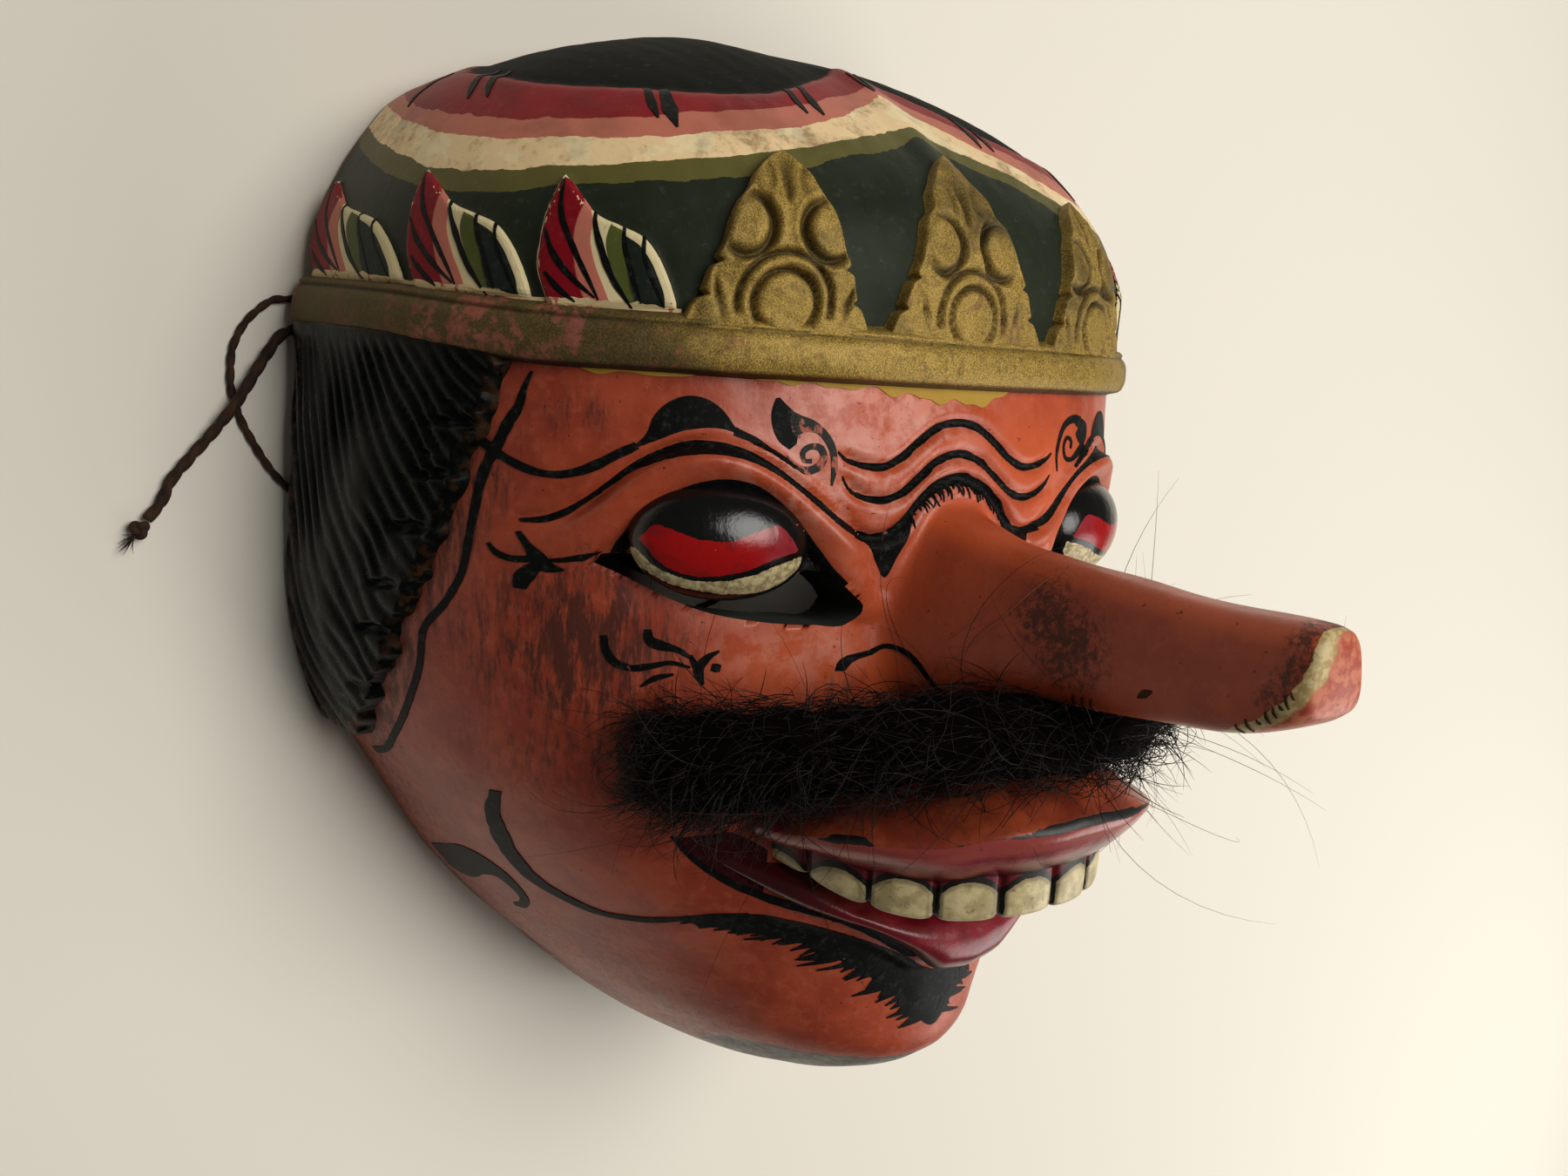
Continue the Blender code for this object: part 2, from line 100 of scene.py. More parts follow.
def splineThrough(points, count):
    # 'count' points, evenly spaced by length, on a smooth curve through the given ones
    points = np.array(points, float)
    chord = runLength(points)
    fine = np.linspace(0, chord[-1], max(200, count * 3))
    if len(points) == 2:
        curve = points[0] + (points[1] - points[0]) * (fine / chord[-1])[:, None]
    else:
        ways = np.gradient(points, chord, axis=0)
        index = np.clip(np.searchsorted(chord, fine) - 1, 0, len(points) - 2)
        step = (chord[index + 1] - chord[index])[:, None]
        t = ((fine - chord[index]) / step[:, 0])[:, None]
        curve = hermite(t, points, ways, index, step)
    length = runLength(curve)
    at = np.linspace(0, length[-1], count)
    return np.stack([np.interp(at, length, curve[:, k]) for k in range(points.shape[1])], -1)


def lineDistance(x, y, line):
    # distance from each place to a polyline, and the share of its length at the nearest point
    line = np.array(line, float)
    lengths = np.linalg.norm(np.diff(line, axis=0), axis=1)
    start = np.concatenate([[0], np.cumsum(lengths)])
    best = np.full(np.shape(x), 1e9)
    share = np.zeros(np.shape(x))
    for (ax, ay), (bx, by), length, begun in zip(line[:-1], line[1:], lengths, start):
        t = np.clip(((x - ax) * (bx - ax) + (y - ay) * (by - ay)) / length**2, 0, 1)
        away = np.hypot(x - ax - t * (bx - ax), y - ay - t * (by - ay))
        nearer = away < best
        best = np.where(nearer, away, best)
        share = np.where(nearer, (begun + t * length) / start[-1], share)
    return best, share


def outlineDistance(x, y, outline):
    # signed distance to a closed outline, below zero inside, and the nearest point on it
    best = np.full(np.shape(x), 1e9)
    nearX, nearY = np.array(x, float), np.array(y, float)
    inside = np.zeros(np.shape(x), bool)
    for (ax, ay), (bx, by) in zip(outline, np.roll(outline, -1, axis=0)):
        t = np.clip(((x - ax) * (bx - ax) + (y - ay) * (by - ay)) / ((bx - ax)**2 + (by - ay)**2), 0, 1)
        px, py = ax + t * (bx - ax), ay + t * (by - ay)
        away = np.hypot(x - px, y - py)
        nearer = away < best
        best, nearX, nearY = (np.where(nearer, away, best), np.where(nearer, px, nearX),
                              np.where(nearer, py, nearY))
        crosses = (ay > y) != (by > y)
        inside ^= crosses & (x < ax + (y - ay) * (bx - ax) / np.where(crosses, by - ay, 1))
    return np.where(inside, -best, best), nearX, nearY


def gridFaces(rows, columns, wrap=False):
    # quads of a grid whose columns run to the right and rows upward, seen from outside
    index = np.arange(rows * columns).reshape(rows, columns)
    if wrap:
        index = np.hstack([index, index[:, :1]])
    return np.stack([index[:-1, :-1], index[:-1, 1:], index[1:, 1:], index[1:, :-1]], -1).reshape(-1, 4)


def punchHole(faces, inside):
    # drop the quads with a corner inside; where it is only one corner, keep the other three
    within = inside[faces]
    count = within.sum(1)
    kept = faces[count == 0]
    single = faces[count == 1]
    place = within[count == 1].argmax(1)
    rest = (place[:, None] + np.array([1, 2, 3, 3])) % 4
    return np.vstack([kept, np.take_along_axis(single, rest, 1)])


def addMesh(name, points, faces, material, attributes=None, flat=False):
    # points in mm; corners that fall together are merged, so poles and seams close
    flatPoints = points.reshape(-1, 3)
    _, first, index = np.unique(np.round(flatPoints * 2000).astype(np.int64), axis=0,
                                return_index=True, return_inverse=True)
    corners = index.reshape(-1)[faces]
    fresh = corners != np.roll(corners, 1, axis=1)
    whole = fresh.sum(1) >= 3
    corners, fresh = corners[whole], fresh[whole]
    totals = fresh.sum(1)
    loops = corners[fresh]
    mesh = bpy.data.meshes.new(name)
    mesh.vertices.add(len(first))
    mesh.vertices.foreach_set("co", (flatPoints[first] * mm).astype(np.float32).ravel())
    mesh.loops.add(len(loops))
    mesh.loops.foreach_set("vertex_index", loops.astype(np.int32))
    mesh.polygons.add(len(totals))
    mesh.polygons.foreach_set("loop_start", np.concatenate([[0], np.cumsum(totals)[:-1]]).astype(np.int32))
    mesh.polygons.foreach_set("use_smooth", np.full(len(totals), not flat))
    mesh.update(calc_edges=True)
    for key, values in (attributes or {}).items():
        values = np.asarray(values, np.float32)
        if key == "pigment":
            layer = mesh.attributes.new(key, "FLOAT_COLOR", "POINT")
            colours = np.hstack([values, np.ones((len(values), 1))])[first]
            layer.data.foreach_set("color", colours.astype(np.float32).ravel())
        else:
            layer = mesh.attributes.new(key, "FLOAT", "POINT")
            layer.data.foreach_set("value", values.ravel()[first])
    piece = bpy.data.objects.new(name, mesh)
    bpy.context.scene.collection.objects.link(piece)
    mesh.materials.append(material)
    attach(piece, "root")
    print(f"{name}: {int((totals - 2).sum())} triangles")
    return piece


def linear(hexColour):
    # sRGB hex to linear light
    values = np.array([int(hexColour[i:i + 2], 16) for i in (1, 3, 5)]) / 255
    values = np.where(values <= 0.04045, values / 12.92, ((values + 0.055) / 1.055)**2.4)
    return tuple(float(v) for v in values) + (1.0,)


def addNode(tree, kind, inputs=None, out=0, **settings):
    # one node with its settings and its inputs, each a value, a hex colour or another node's socket;
    # gives one of its output sockets
    node = tree.nodes.new("ShaderNode" + kind)
    for key, value in settings.items():
        setattr(node, key, value)
    for key, value in (inputs or {}).items():
        if isinstance(value, bpy.types.NodeSocket):
            tree.links.new(value, node.inputs[key])
        else:
            node.inputs[key].default_value = linear(value) if isinstance(value, str) else value
    return node.outputs[out]


def newMaterial(name, roughness, specular, layers=(), **sockets):
    # a painted or bare finish, with sockets for the layers that its pieces carry
    material = bpy.data.materials.new(name)
    material.use_nodes = True
    tree = material.node_tree
    shader = tree.nodes["Principled BSDF"]
    for key, value in {"Roughness": roughness, "Specular IOR Level": specular, **sockets}.items():
        shader.inputs[key].default_value = value
    return (material, tree, shader,
            [addNode(tree, "Attribute", out="Fac", attribute_name=key) for key in layers])


def lumps(tree, sizeMm, detail=3.0, stretch=(1, 1, 1), roughness=0.55, shift=0.0):
    # noise on the object's own coordinates, its lumps about sizeMm across
    place = addNode(tree, "TexCoord", out="Object")
    place = addNode(tree, "Mapping", {"Vector": place, "Location": (shift, shift, shift), "Scale": stretch})
    return addNode(tree, "TexNoise", {"Vector": place, "Scale": 1 / (sizeMm * mm), "Detail": detail,
                                      "Roughness": roughness})


def blend(tree, start, *terms):
    # start + the sum of layer x share, where a share is a number or another layer
    total = start
    for layer, share in terms:
        total = addNode(tree, "Math", {0: layer, 1: share, 2: total}, operation="MULTIPLY_ADD")
    return total


def coat(tree, under, paint, cover, low=None, high=None, least=0.0, most=1.0):
    # a paint laid over what is under it. Its cover is a layer's own value, or goes softly from least
    # to most as the layer goes from low to high. A layer laid over black is that layer times its cover.
    if low is not None:
        cover = addNode(tree, "MapRange", {0: cover, 1: low, 2: high, 3: least, 4: most},
                        interpolation_type="SMOOTHSTEP")
    return addNode(tree, "Mix", {0: cover, 6: under, 7: paint}, 2, data_type="RGBA")


def coats(tree, under, *layers):
    # coats one over another, each (paint, cover, low, high, least, most)
    for layer in layers:
        under = coat(tree, under, *layer)
    return under


def finish(tree, shader, colour, roughness, *heights):
    # colour, roughness (layer, low, high, at low, at high) and stacked bumps (layer, depth in mm)
    tree.links.new(colour, shader.inputs["Base Color"])
    if roughness:
        layer, low, high, atLow, atHigh = roughness
        tree.links.new(addNode(tree, "MapRange", {0: layer, 1: low, 2: high, 3: atLow, 4: atHigh},
                               interpolation_type="SMOOTHSTEP"), shader.inputs["Roughness"])
    normal = None
    for height, depth in heights:
        below = {"Normal": normal} if normal else {}
        normal = addNode(tree, "Bump", {"Height": height, "Strength": 1.0, "Distance": depth * mm, **below})
    if normal:
        tree.links.new(normal, shader.inputs["Normal"])


def makeFlesh():
    # oil-bound enamel over wood, worn to a soft sheen: orange where it was rubbed and as painted highlight,
    # brown grime and painted shade in vertical streaks, pink chalk bloom and a painted highlight on the lid
    # roll, tiny dark pits; nose tip worn to cream and red
    material, tree, shader, (grime_and_shade, rub_and_highlight, chalk_and_highlight, chin_underside_dark, streak, tip) = newMaterial(
        "flesh_enamel_worn_satin", 0.4, 0.32, ("grime_and_shade", "rub_and_highlight", "chalk_and_highlight", "chin_underside_dark", "streak", "tip"))
    mottle, fine, pits = lumps(tree, 8, 5), lumps(tree, 1.6, 5, shift=0.3), lumps(tree, 0.9, 2, shift=0.5)
    streaks = coat(tree, lumps(tree, 1.0, 6, roughness=0.8), lumps(tree, 1.0, 6, (1, 0.16, 0.6), 0.75),
                   streak)
    # bright orange where the paint was rubbed and as painted highlight
    colour = coats(tree, "#8E3826", ("#A5482F", mottle, 0.38, 0.62), ("#C6592F", rub_and_highlight),
                   ("#B05A44", fine, 0.5, 0.68, 0, 0.35))
    # grime and painted shade darken the paint, most in vertical streaks
    bite = addNode(tree, "MapRange", {0: grime_and_shade, 1: 0.0, 2: 0.8, 3: 0.7, 4: 3.6},
                   interpolation_type="SMOOTHSTEP")
    dark = blend(tree, 0.0, (grime_and_shade, 0.25), (streaks, bite), (bite, -0.5), (mottle, grime_and_shade))
    colour = coat(tree, colour, "#3E201B", dark, 0.08, 0.85, 0, 0.9)
    # pink chalk bloom, with a painted highlight on the lid roll
    bloom_and_highlight = coat(tree, "#000000", chalk_and_highlight, lumps(tree, 4.5, 6, shift=0.7, roughness=0.7), 0.4, 0.6)
    colour = coats(tree, colour, ("#C87C69", bloom_and_highlight),
                   ("#1F1C14", blend(tree, 0.0, (chin_underside_dark, 1.0), (fine, 0.5)), 0.7, 1.0, 0, 0.95),
                   ("#3A1A16", pits, 0.7, 0.76, 0, 0.75))
    tip = blend(tree, -0.8, (tip, 1.0), (fine, 1.6))
    worn = coat(tree, "#A89260", "#C9B585", lumps(tree, 1.1, 4, shift=0.9), 0.42, 0.6)
    worn = coat(tree, worn, coat(tree, "#A24330", "#BE6E50", fine, 0.4, 0.6), tip, 2.5, 3.2)
    colour = coat(tree, colour, worn, tip, 0.55, 0.75)
    raised = coat(tree, "#FFFFFF", "#000000", pits, 0.7, 0.76)
    finish(tree, shader, colour, (blend(tree, 0.0, (dark, 1.0), (fine, 1.0)), 0.4, 1.2, 0.33, 0.52),
           (mottle, 0.12), (streaks, 0.035), (fine, 0.05), (raised, 0.08))
    return material


def makeHairPaint():
    # glossy black enamel with a green cast, rubbed to brown wood on a few crests
    material, tree, shader, (rub,) = newMaterial("black_enamel_gloss", 0.3, 0.1, ("rub",),
                                                 **{"Specular Tint": (0.36, 0.38, 0.35, 1)})
    fine = lumps(tree, 1.2, 5)
    colour = coats(tree, "#060807", ("#0D110F", fine, 0.4, 0.65),
                   ("#54341F", coat(tree, "#000000", rub, lumps(tree, 2.4, 5, shift=0.4), 0.5, 0.6)))
    finish(tree, shader, colour, (fine, 0.3, 0.7, 0.24, 0.4), (lumps(tree, 3, 4), 0.12), (fine, 0.05))
    return material


def makeClothPaint():
    # flat enamel stripes of the headcloth by the layer 'stripe': green, olive, cream, pink, red and the
    # dark crown, with uneven edges; the cream is stained and has a few bright patches
    material, tree, shader, (stripe, rimward) = newMaterial("cloth_enamel_satin", 0.5, 0.2,
                                                            ("stripe", "rimward"),
                                                            **{"Specular Tint": (0.5, 0.48, 0.42, 1)})
    fine, broad = lumps(tree, 1.5, 6, shift=0.2, roughness=0.7), lumps(tree, 9, 5, shift=0.6)
    stripe = blend(tree, -0.235, (stripe, 1.0), (lumps(tree, 6, 3), 0.35), (lumps(tree, 1.4, 2), 0.12))
    paints = ("#232A1F", "#5E5A2E", "#ECCFA0", "#BC6F5C", "#86161C", "#0F120F")
    share = addNode(tree, "Math", {0: stripe, 1: len(paints)}, operation="DIVIDE")
    colour = addNode(tree, "ValToRGB", {"Fac": share})
    bands = colour.node.color_ramp
    bands.interpolation = "CONSTANT"
    while len(bands.elements) < len(paints):
        bands.elements.new(0.5)
    for step, (element, paint) in enumerate(zip(bands.elements, paints)):
        element.position, element.color = step / len(paints), linear(paint)
    cream = coat(tree, "#000000", "#FFFFFF", stripe, 1.99, 2.01)
    cream = coat(tree, cream, "#000000", stripe, 2.99, 3.01)
    stain = coat(tree, "#000000", cream, blend(tree, 0.0, (fine, 1.0), (broad, 0.8)), 0.88, 1.15, 0, 0.65)
    colour = coat(tree, colour, "#8E6C42", stain)
    bright = coat(tree, "#000000", cream, lumps(tree, 7, 3, shift=1.4), 0.55, 0.6, 0, 0.6)
    colour = coats(tree, colour, ("#F0E2B8", bright), ("#000000", broad, 0.45, 0.7, 0, 0.25),
                   ("#FFFFFF", fine, 0.55, 0.75, 0, 0.024))
    wood = blend(tree, 0.0, (rimward, 1.0), (fine, 1.6))
    colour = coat(tree, colour, coat(tree, "#5A2C1E", "#8A4A34", fine), wood, 1.15, 1.3)
    finish(tree, shader, colour, (stripe, 4.9, 5.1, 0.5, 0.85), (broad, 0.2), (fine, 0.06))
    return material


def makeGilt():
    # bronze powder in varnish: grains that glint one by one, dulled to olive where it is old, with painted
    # shade on the band's left end, worn through to the red ground, and painted shade in the cuts and under
    # the band's roll
    material, tree, shader, (dull_and_shade, cut_and_shade, loss, rimward) = newMaterial(
        "bronze_powder_varnish", 0.42, 0.25, ("dull_and_shade", "cut_and_shade", "loss", "rimward"), Metallic=0.3)
    grain, fine = lumps(tree, 0.22, 2, roughness=0.8), lumps(tree, 2.2, 6, roughness=0.7)
    broad = lumps(tree, 11, 4, shift=0.4)
    colour = coat(tree, "#6A551F", "#B99A4E", grain, 0.36, 0.66)
    old = coat(tree, "#40351C", "#6C5C33", grain, 0.35, 0.7)
    # olive where the band is tarnished, and as painted shade on its left end
    colour = coat(tree, colour, old, blend(tree, -1.1, (dull_and_shade, 1.0), (broad, 2.2)), 0.2, 0.9)
    worn = blend(tree, 0.0, (dull_and_shade, 0.12), (fine, 0.6), (lumps(tree, 7, 4, (1, 0.6, 1), shift=2.1), 0.4),
                 (rimward, 0.4))
    ground = coat(tree, "#74352A", "#BC7464", lumps(tree, 1.6, 5, shift=0.8))
    # red ground where the gilt is worn through, and near black in the cuts and under the band's roll as
    # painted shade
    colour = coats(tree, colour, (ground, coat(tree, "#000000", loss, worn, 0.6, 0.7)),
                   ("#4A3A1A", fine, 0.52, 0.66, 0, 0.45), ("#1E170C", blend(tree, 0.0, (cut_and_shade, 0.95))))
    finish(tree, shader, colour, None,
           (broad, 0.25), (lumps(tree, 4, 3, shift=1.1), 0.3), (fine, 0.14), (grain, 0.05))
    glint = addNode(tree, "MapRange", {0: grain, 1: 0.35, 2: 0.65, 3: 0.34, 4: 0.6},
                    interpolation_type="SMOOTHSTEP")
    tree.links.new(blend(tree, glint, (dull_and_shade, 0.22)), shader.inputs["Roughness"])
    return material


def makeBrushPaint():
    # thin enamel laid on with a pointed brush, in the colour of its layer 'pigment'; worn through where
    # 'wear' is high
    material, tree, shader, (wear,) = newMaterial("brushed_enamel_satin", 0.55, 0.2, ("wear",),
                                                  **{"Specular Tint": (0.3, 0.3, 0.3, 1)})
    fine = lumps(tree, 1.3, 5, roughness=0.7)
    colour = addNode(tree, "Attribute", out="Color", attribute_name="pigment")
    colour = coat(tree, colour, "#FFFFFF", fine, 0.5, 0.72, 0, 0.02)
    wear = blend(tree, 0.0, (wear, 1.0), (lumps(tree, 1.7, 5, (1, 0.6, 1), shift=0.6), 1.0))
    colour = coat(tree, colour, coat(tree, "#8A3E2E", "#C07C6A", fine), wear, 1.0, 1.06)
    finish(tree, shader, colour, None, (fine, 0.05))
    return material


def makeBareWood():
    # old soft wood of the hollow: grain along the face's height, grey-brown with handling
    material, tree, shader, _ = newMaterial("bare_wood_matt", 0.72, 0.5)
    grain, broad = lumps(tree, 1.8, 6, (1, 0.05, 1), 0.6), lumps(tree, 16, 4, (1, 0.4, 1))
    colour = coats(tree, "#4E3420", ("#8B6540", grain, 0.35, 0.68), ("#3A2A1C", broad, 0.4, 0.65, 0, 0.6))
    finish(tree, shader, colour, (grain, 0.3, 0.7, 0.62, 0.85), (grain, 0.12), (broad, 0.2))
    return material


def makeSlitShade():
    # flat dark grey-green on the sides of the eye slits: painted shade for their shadowed inside
    material, tree, shader, _ = newMaterial("slit_painted_shade_matt", 0.85, 0.1)
    finish(tree, shader, coat(tree, "#2E302C", "#41433D", lumps(tree, 5, 4)), None)
    return material


def makeEyePaint():
    # glossy enamel: black lid, red band, thin black line and a ragged cream rim
    material, tree, shader, (red, cream, redSide) = newMaterial("eye_enamel_gloss", 0.26, 0.42,
                                                                ("red", "cream", "redSide"))
    fine = lumps(tree, 1.1, 5, roughness=0.7)
    red, cream = (blend(tree, -0.35, (layer, 1.0), (fine, 0.7)) for layer in (red, cream))
    redPaint = coat(tree, "#9A0D10", "#8C2A33", redSide)
    redPaint = coat(tree, redPaint, "#6A1416", lumps(tree, 3, 4), 0.5, 0.65, 0, 0.6)
    colour = coats(tree, "#0D0E0E", ("#1E2020", fine, 0.6, 0.75), (redPaint, red, -0.05, 0.05),
                   (coat(tree, "#948660", "#CDBE92", fine, 0.42, 0.6), cream, -0.05, 0.05),
                   ("#B06A50", lumps(tree, 0.8, 1, shift=1.7), 0.77, 0.8, 0, 0.8))
    finish(tree, shader, colour, (cream, -0.1, 0.2, 0.16, 0.5), (lumps(tree, 4, 4, (1, 0.5, 1)), 0.16),
           (fine, 0.05))
    return material


def makeLipPaint():
    # crimson enamel with a high gloss under the lip, flesh paint above its edge, black along the edge
    material, tree, shader, (under, ink) = newMaterial("lip_enamel_gloss", 0.26, 0.45, ("under", "ink"))
    fine, broad = lumps(tree, 1.2, 5, roughness=0.7), lumps(tree, 7, 4)
    under, ink = (blend(tree, -0.3, (layer, 1.0), (fine, 0.6)) for layer in (under, ink))
    crimson = coat(tree, "#69121E", "#84202C", broad, 0.4, 0.62)
    # lighter pinkish red just under the lip's edge: a painted reflection
    crimson = coat(tree, "#93403C", crimson, under, 2.2, 4.4)
    # darker far under the lip and towards the lower lip's corners: painted shade
    crimson = coat(tree, crimson, "#3A0A10", under, 7, 12)
    colour = coats(tree, coat(tree, "#7E3322", "#A24A2C", broad, 0.4, 0.65), (crimson, under, -0.05, 0.05),
                   ("#3A0E10", fine, 0.58, 0.75, 0, 0.5), ("#121110", ink, -0.04, 0.04))
    finish(tree, shader, colour, (blend(tree, under, (ink, -9.0)), -0.1, 0.1, 0.45, 0.24), (broad, 0.15),
           (fine, 0.06))
    return material


def makeToothPaint():
    # cream enamel gone grey and brown at the edges, black brush lines between the teeth and along the gum
    material, tree, shader, (line, gum) = newMaterial("tooth_enamel_satin", 0.38, 0.3, ("line", "gum"))
    fine, broad, shake = lumps(tree, 1.0, 6, roughness=0.7), lumps(tree, 3.4, 5), lumps(tree, 1.6, 3)
    line, gum = (blend(tree, -0.275, (layer, 1.0), (shake, 0.55)) for layer in (line, gum))
    colour = coats(tree, "#A3946C", ("#C8B88C", broad, 0.4, 0.62), ("#5C4E36", fine, 0.56, 0.7, 0, 0.75),
                   ("#4A3E2A", line, 1.0, 0.3, 0, 0.5), ("#12110F", line, 0.05, -0.05),
                   ("#5A121B", gum, -0.05, 0.05))
    finish(tree, shader, colour, None, (broad, 0.1), (fine, 0.06))
    return material


def makeFibre(name, dark, light, roughness, specular):
    # animal or plant fibre, each strand a little lighter or darker by its layer 'tone'
    material, tree, shader, (tone,) = newMaterial(name, roughness, specular, ("tone",))
    finish(tree, shader, coat(tree, dark, light, tone), None)
    return material


fleshPaint, blackPaint, clothPaint, giltPaint = makeFlesh(), makeHairPaint(), makeClothPaint(), makeGilt()
brushPaint, bareWood, eyePaint = makeBrushPaint(), makeBareWood(), makeEyePaint()
lipPaint, toothPaint, slitShade = makeLipPaint(), makeToothPaint(), makeSlitShade()
furFibre = makeFibre("horse_hair_black_brown", "#070505", "#231710", 0.55, 0.22)
furMass = makeFibre("horse_hair_matted", "#070504", "#0C0907", 0.95, 0.05)
twineFibre = makeFibre("palm_twine_brown", "#20130B", "#3A2416", 0.8, 0.3)


shell = {
    "halfHeight": 94.5,          # crown and chin from the middle
    "rimWall": 7.0,
    "frontWall": 10.0,
    # stations (y, size) of an oval as tall as the mask: half width, half depth, squareness
    "side": [(-94.5, 64), (-86.5, 58), (-76.5, 57.5), (-66.5, 61.5), (-55.5, 65), (-44.5, 67.5),
             (-33.5, 70.5), (-24.5, 73.5), (-8.5, 75.5), (6.5, 76), (28.5, 79), (43.5, 84), (59.5, 91),
             (70.5, 97), (78.5, 102), (84.5, 101), (94.5, 100)],
    "front": [(-94.5, 102), (-90, 126), (-82, 134), (-74, 129), (-64, 113), (-56, 103), (-44, 95), (-30, 86),
              (-12, 80), (0, 79), (15.5, 81.5), (23.5, 82.5), (33.5, 84.5), (43.5, 88.5), (53.5, 94),
              (63.5, 98),
              (69.5, 99), (79.5, 100), (85, 101.5), (88.5, 102.5), (94.5, 105)],
    "square": [(-94.5, 1.95), (-60, 1.95), (-30, 2.25), (0, 2.4), (45, 2.55), (70, 2.8), (94.5, 3.0)],
    "rimRound": 1.0,             # the rim's worn outer edge
    "archMiddle": 29.0,          # the rim is hollowed here to clear the cords
    "archHalf": 31.0,
    "archRise": 3.6,
}


def shellSizes(y, inset=0.0, depthInset=None):
    # half width, half depth and squareness of the shell's oval at height y
    depthInset = inset if depthInset is None else depthInset
    half = shell["halfHeight"] - inset
    oval = np.sqrt(np.clip(half**2 - y**2, 0, None)) / half
    at = y * shell["halfHeight"] / half
    width = (smoothCurve(shell["side"], at) - inset) * oval
    depth = (smoothCurve(shell["front"], at) - depthInset) * oval
    return width, depth, smoothCurve(shell["square"], at)


def shellPoint(angle, y, inset=0.0, depthInset=None):
    # x = w sin(a) r, z = d cos(a) r, with r = (|sin a|^p + |cos a|^p)^(-1/p)
    width, depth, power = shellSizes(y, inset, depthInset)
    s, c = np.sin(angle), np.cos(angle)
    reach = (np.abs(s)**power + np.abs(c)**power)**(-1 / power)
    return np.stack(np.broadcast_arrays(width * s * reach, y, depth * c * reach), -1)


def shellNormal(angle, y, inset=0.0, depthInset=None):
    # cross product of the steps round and up the shell
    tiny = 0.01
    y = np.clip(y, -shell["halfHeight"] + inset + 2 * tiny, shell["halfHeight"] - inset - 2 * tiny)
    roundWay = (shellPoint(angle + tiny, y, inset, depthInset)
                - shellPoint(angle - tiny, y, inset, depthInset))
    tallWay = shellPoint(angle, y + tiny, inset, depthInset) - shellPoint(angle, y - tiny, inset, depthInset)
    return unit(np.cross(roundWay, tallWay))


def angleOf(point):
    # the angle under a point near the shell
    width, depth, _ = shellSizes(point[..., 1])
    return np.arctan2(point[..., 0] / np.maximum(width, 1e-6), point[..., 2] / np.maximum(depth, 1e-6))


def frontPlace(x, y, inset=0.0, depthInset=None):
    # (angle, y) of the shell's point in front of (x, y)
    x, y = np.asarray(x, float), np.asarray(y, float)
    width, _, power = shellSizes(y, inset, depthInset)
    share = np.clip(np.abs(x) / width, 0, 0.99995)
    return np.arctan2(x / width, (1 - share**power)**(1 / power)), y


def heightAngle(z, y, inset=0.0, depthInset=None):
    # the angle, above zero, at which the shell is z high
    _, depth, power = shellSizes(y, inset, depthInset)
    share = np.clip(z / np.maximum(depth, 1e-6), 0, 1)
    return np.arctan2((1 - share**power)**(1 / power), share)


def rimHeight(y):
    t = (y - shell["archMiddle"]) / shell["archHalf"]
    return shell["archRise"] * np.clip(1 - t * t, 0, None)


def rimInset(base):
    # rounding of the rim's outer edge: a quarter circle drawn inwards
    r = shell["rimRound"]
    h = np.clip(base[..., 2] - rimHeight(base[..., 1]), 0, r)
    return r - np.sqrt(r**2 - (r - h)**2)


def carved(relief, angle, y, lift=0.0):
    # the shell moved out along its normal by its relief, and by a lift for paint that lies on it
    base = shellPoint(angle, y)
    out = relief(base, angle) - rimInset(base) + lift
    moved = base + shellNormal(angle, y) * out[..., None]
    moved[..., 2] = np.maximum(moved[..., 2], rimHeight(base[..., 1]))
    return moved


def evenRows(low, high, spacing):
    # heights from low to high, evenly spaced along the profile in the middle
    y = np.linspace(low, high, 4000)
    depth = shellSizes(y)[1]
    length = np.concatenate([[0], np.cumsum(np.hypot(np.diff(y), np.diff(depth)))])
    return np.interp(np.linspace(0, length[-1], int(length[-1] / spacing) + 1), length, y)


def evenColumns(y, start, end, count):
    # angles evenly spaced by length along each row
    share = np.linspace(0, 1, 400)
    angle = start[:, None] + (end - start)[:, None] * share
    points = shellPoint(angle, y[:, None])
    length = np.concatenate([np.zeros((len(y), 1)),
                             np.cumsum(np.linalg.norm(np.diff(points, axis=1), axis=-1), axis=1)], 1)
    length += share * 1e-6
    at = np.linspace(0, 1, count)
    return np.stack([np.interp(at * row[-1], row, angles) for row, angles in zip(length, angle)])


def band(y, angle):
    # share of the way up the forehead band, 0 at its lower edge and 1 at its upper
    low, top = (smoothCurve(forehead[key], np.abs(np.degrees(angle))) for key in ("low", "top"))
    return (y - low) / (top - low)


forehead = {
    # the band's edges, (degrees round from the middle, y)
    "low": [(0, 35.6), (38, 36.0), (46, 36.2), (51, 36.5), (58, 37.5), (67, 39.0), (82, 39.8), (94, 40.2)],
    "top": [(0, 42.3), (33, 42.6), (41, 42.8), (47, 43.1), (56, 44.0), (65, 45.1), (82, 46.4), (94, 47.1)],
    # (share of the way up, rise): a rolled band with a bead along its top
    "profile": [(-0.3, -0.8), (-0.16, -0.6), (-0.10, 0.6), (-0.05, 1.9), (0.04, 2.6), (0.3, 3.1), (0.6, 3.0),
                        (0.78, 2.5), (0.86, 2.0), (0.92, 2.2), (0.99, 1.9), (1.06, 0.9), (1.14, -0.2),
                (1.3, -0.8)],
}

hair = {"rise": 2.6, "top": 37.0, "low": -27.0,
        "edge": [(-27, 18), (-20, 25), (-11, 32.5), (-2, 37), (6.6, 42.5), (20, 49), (34, 53), (45, 54)],
        "grooveStep": 2.5, "grooveDepth": 1.0}

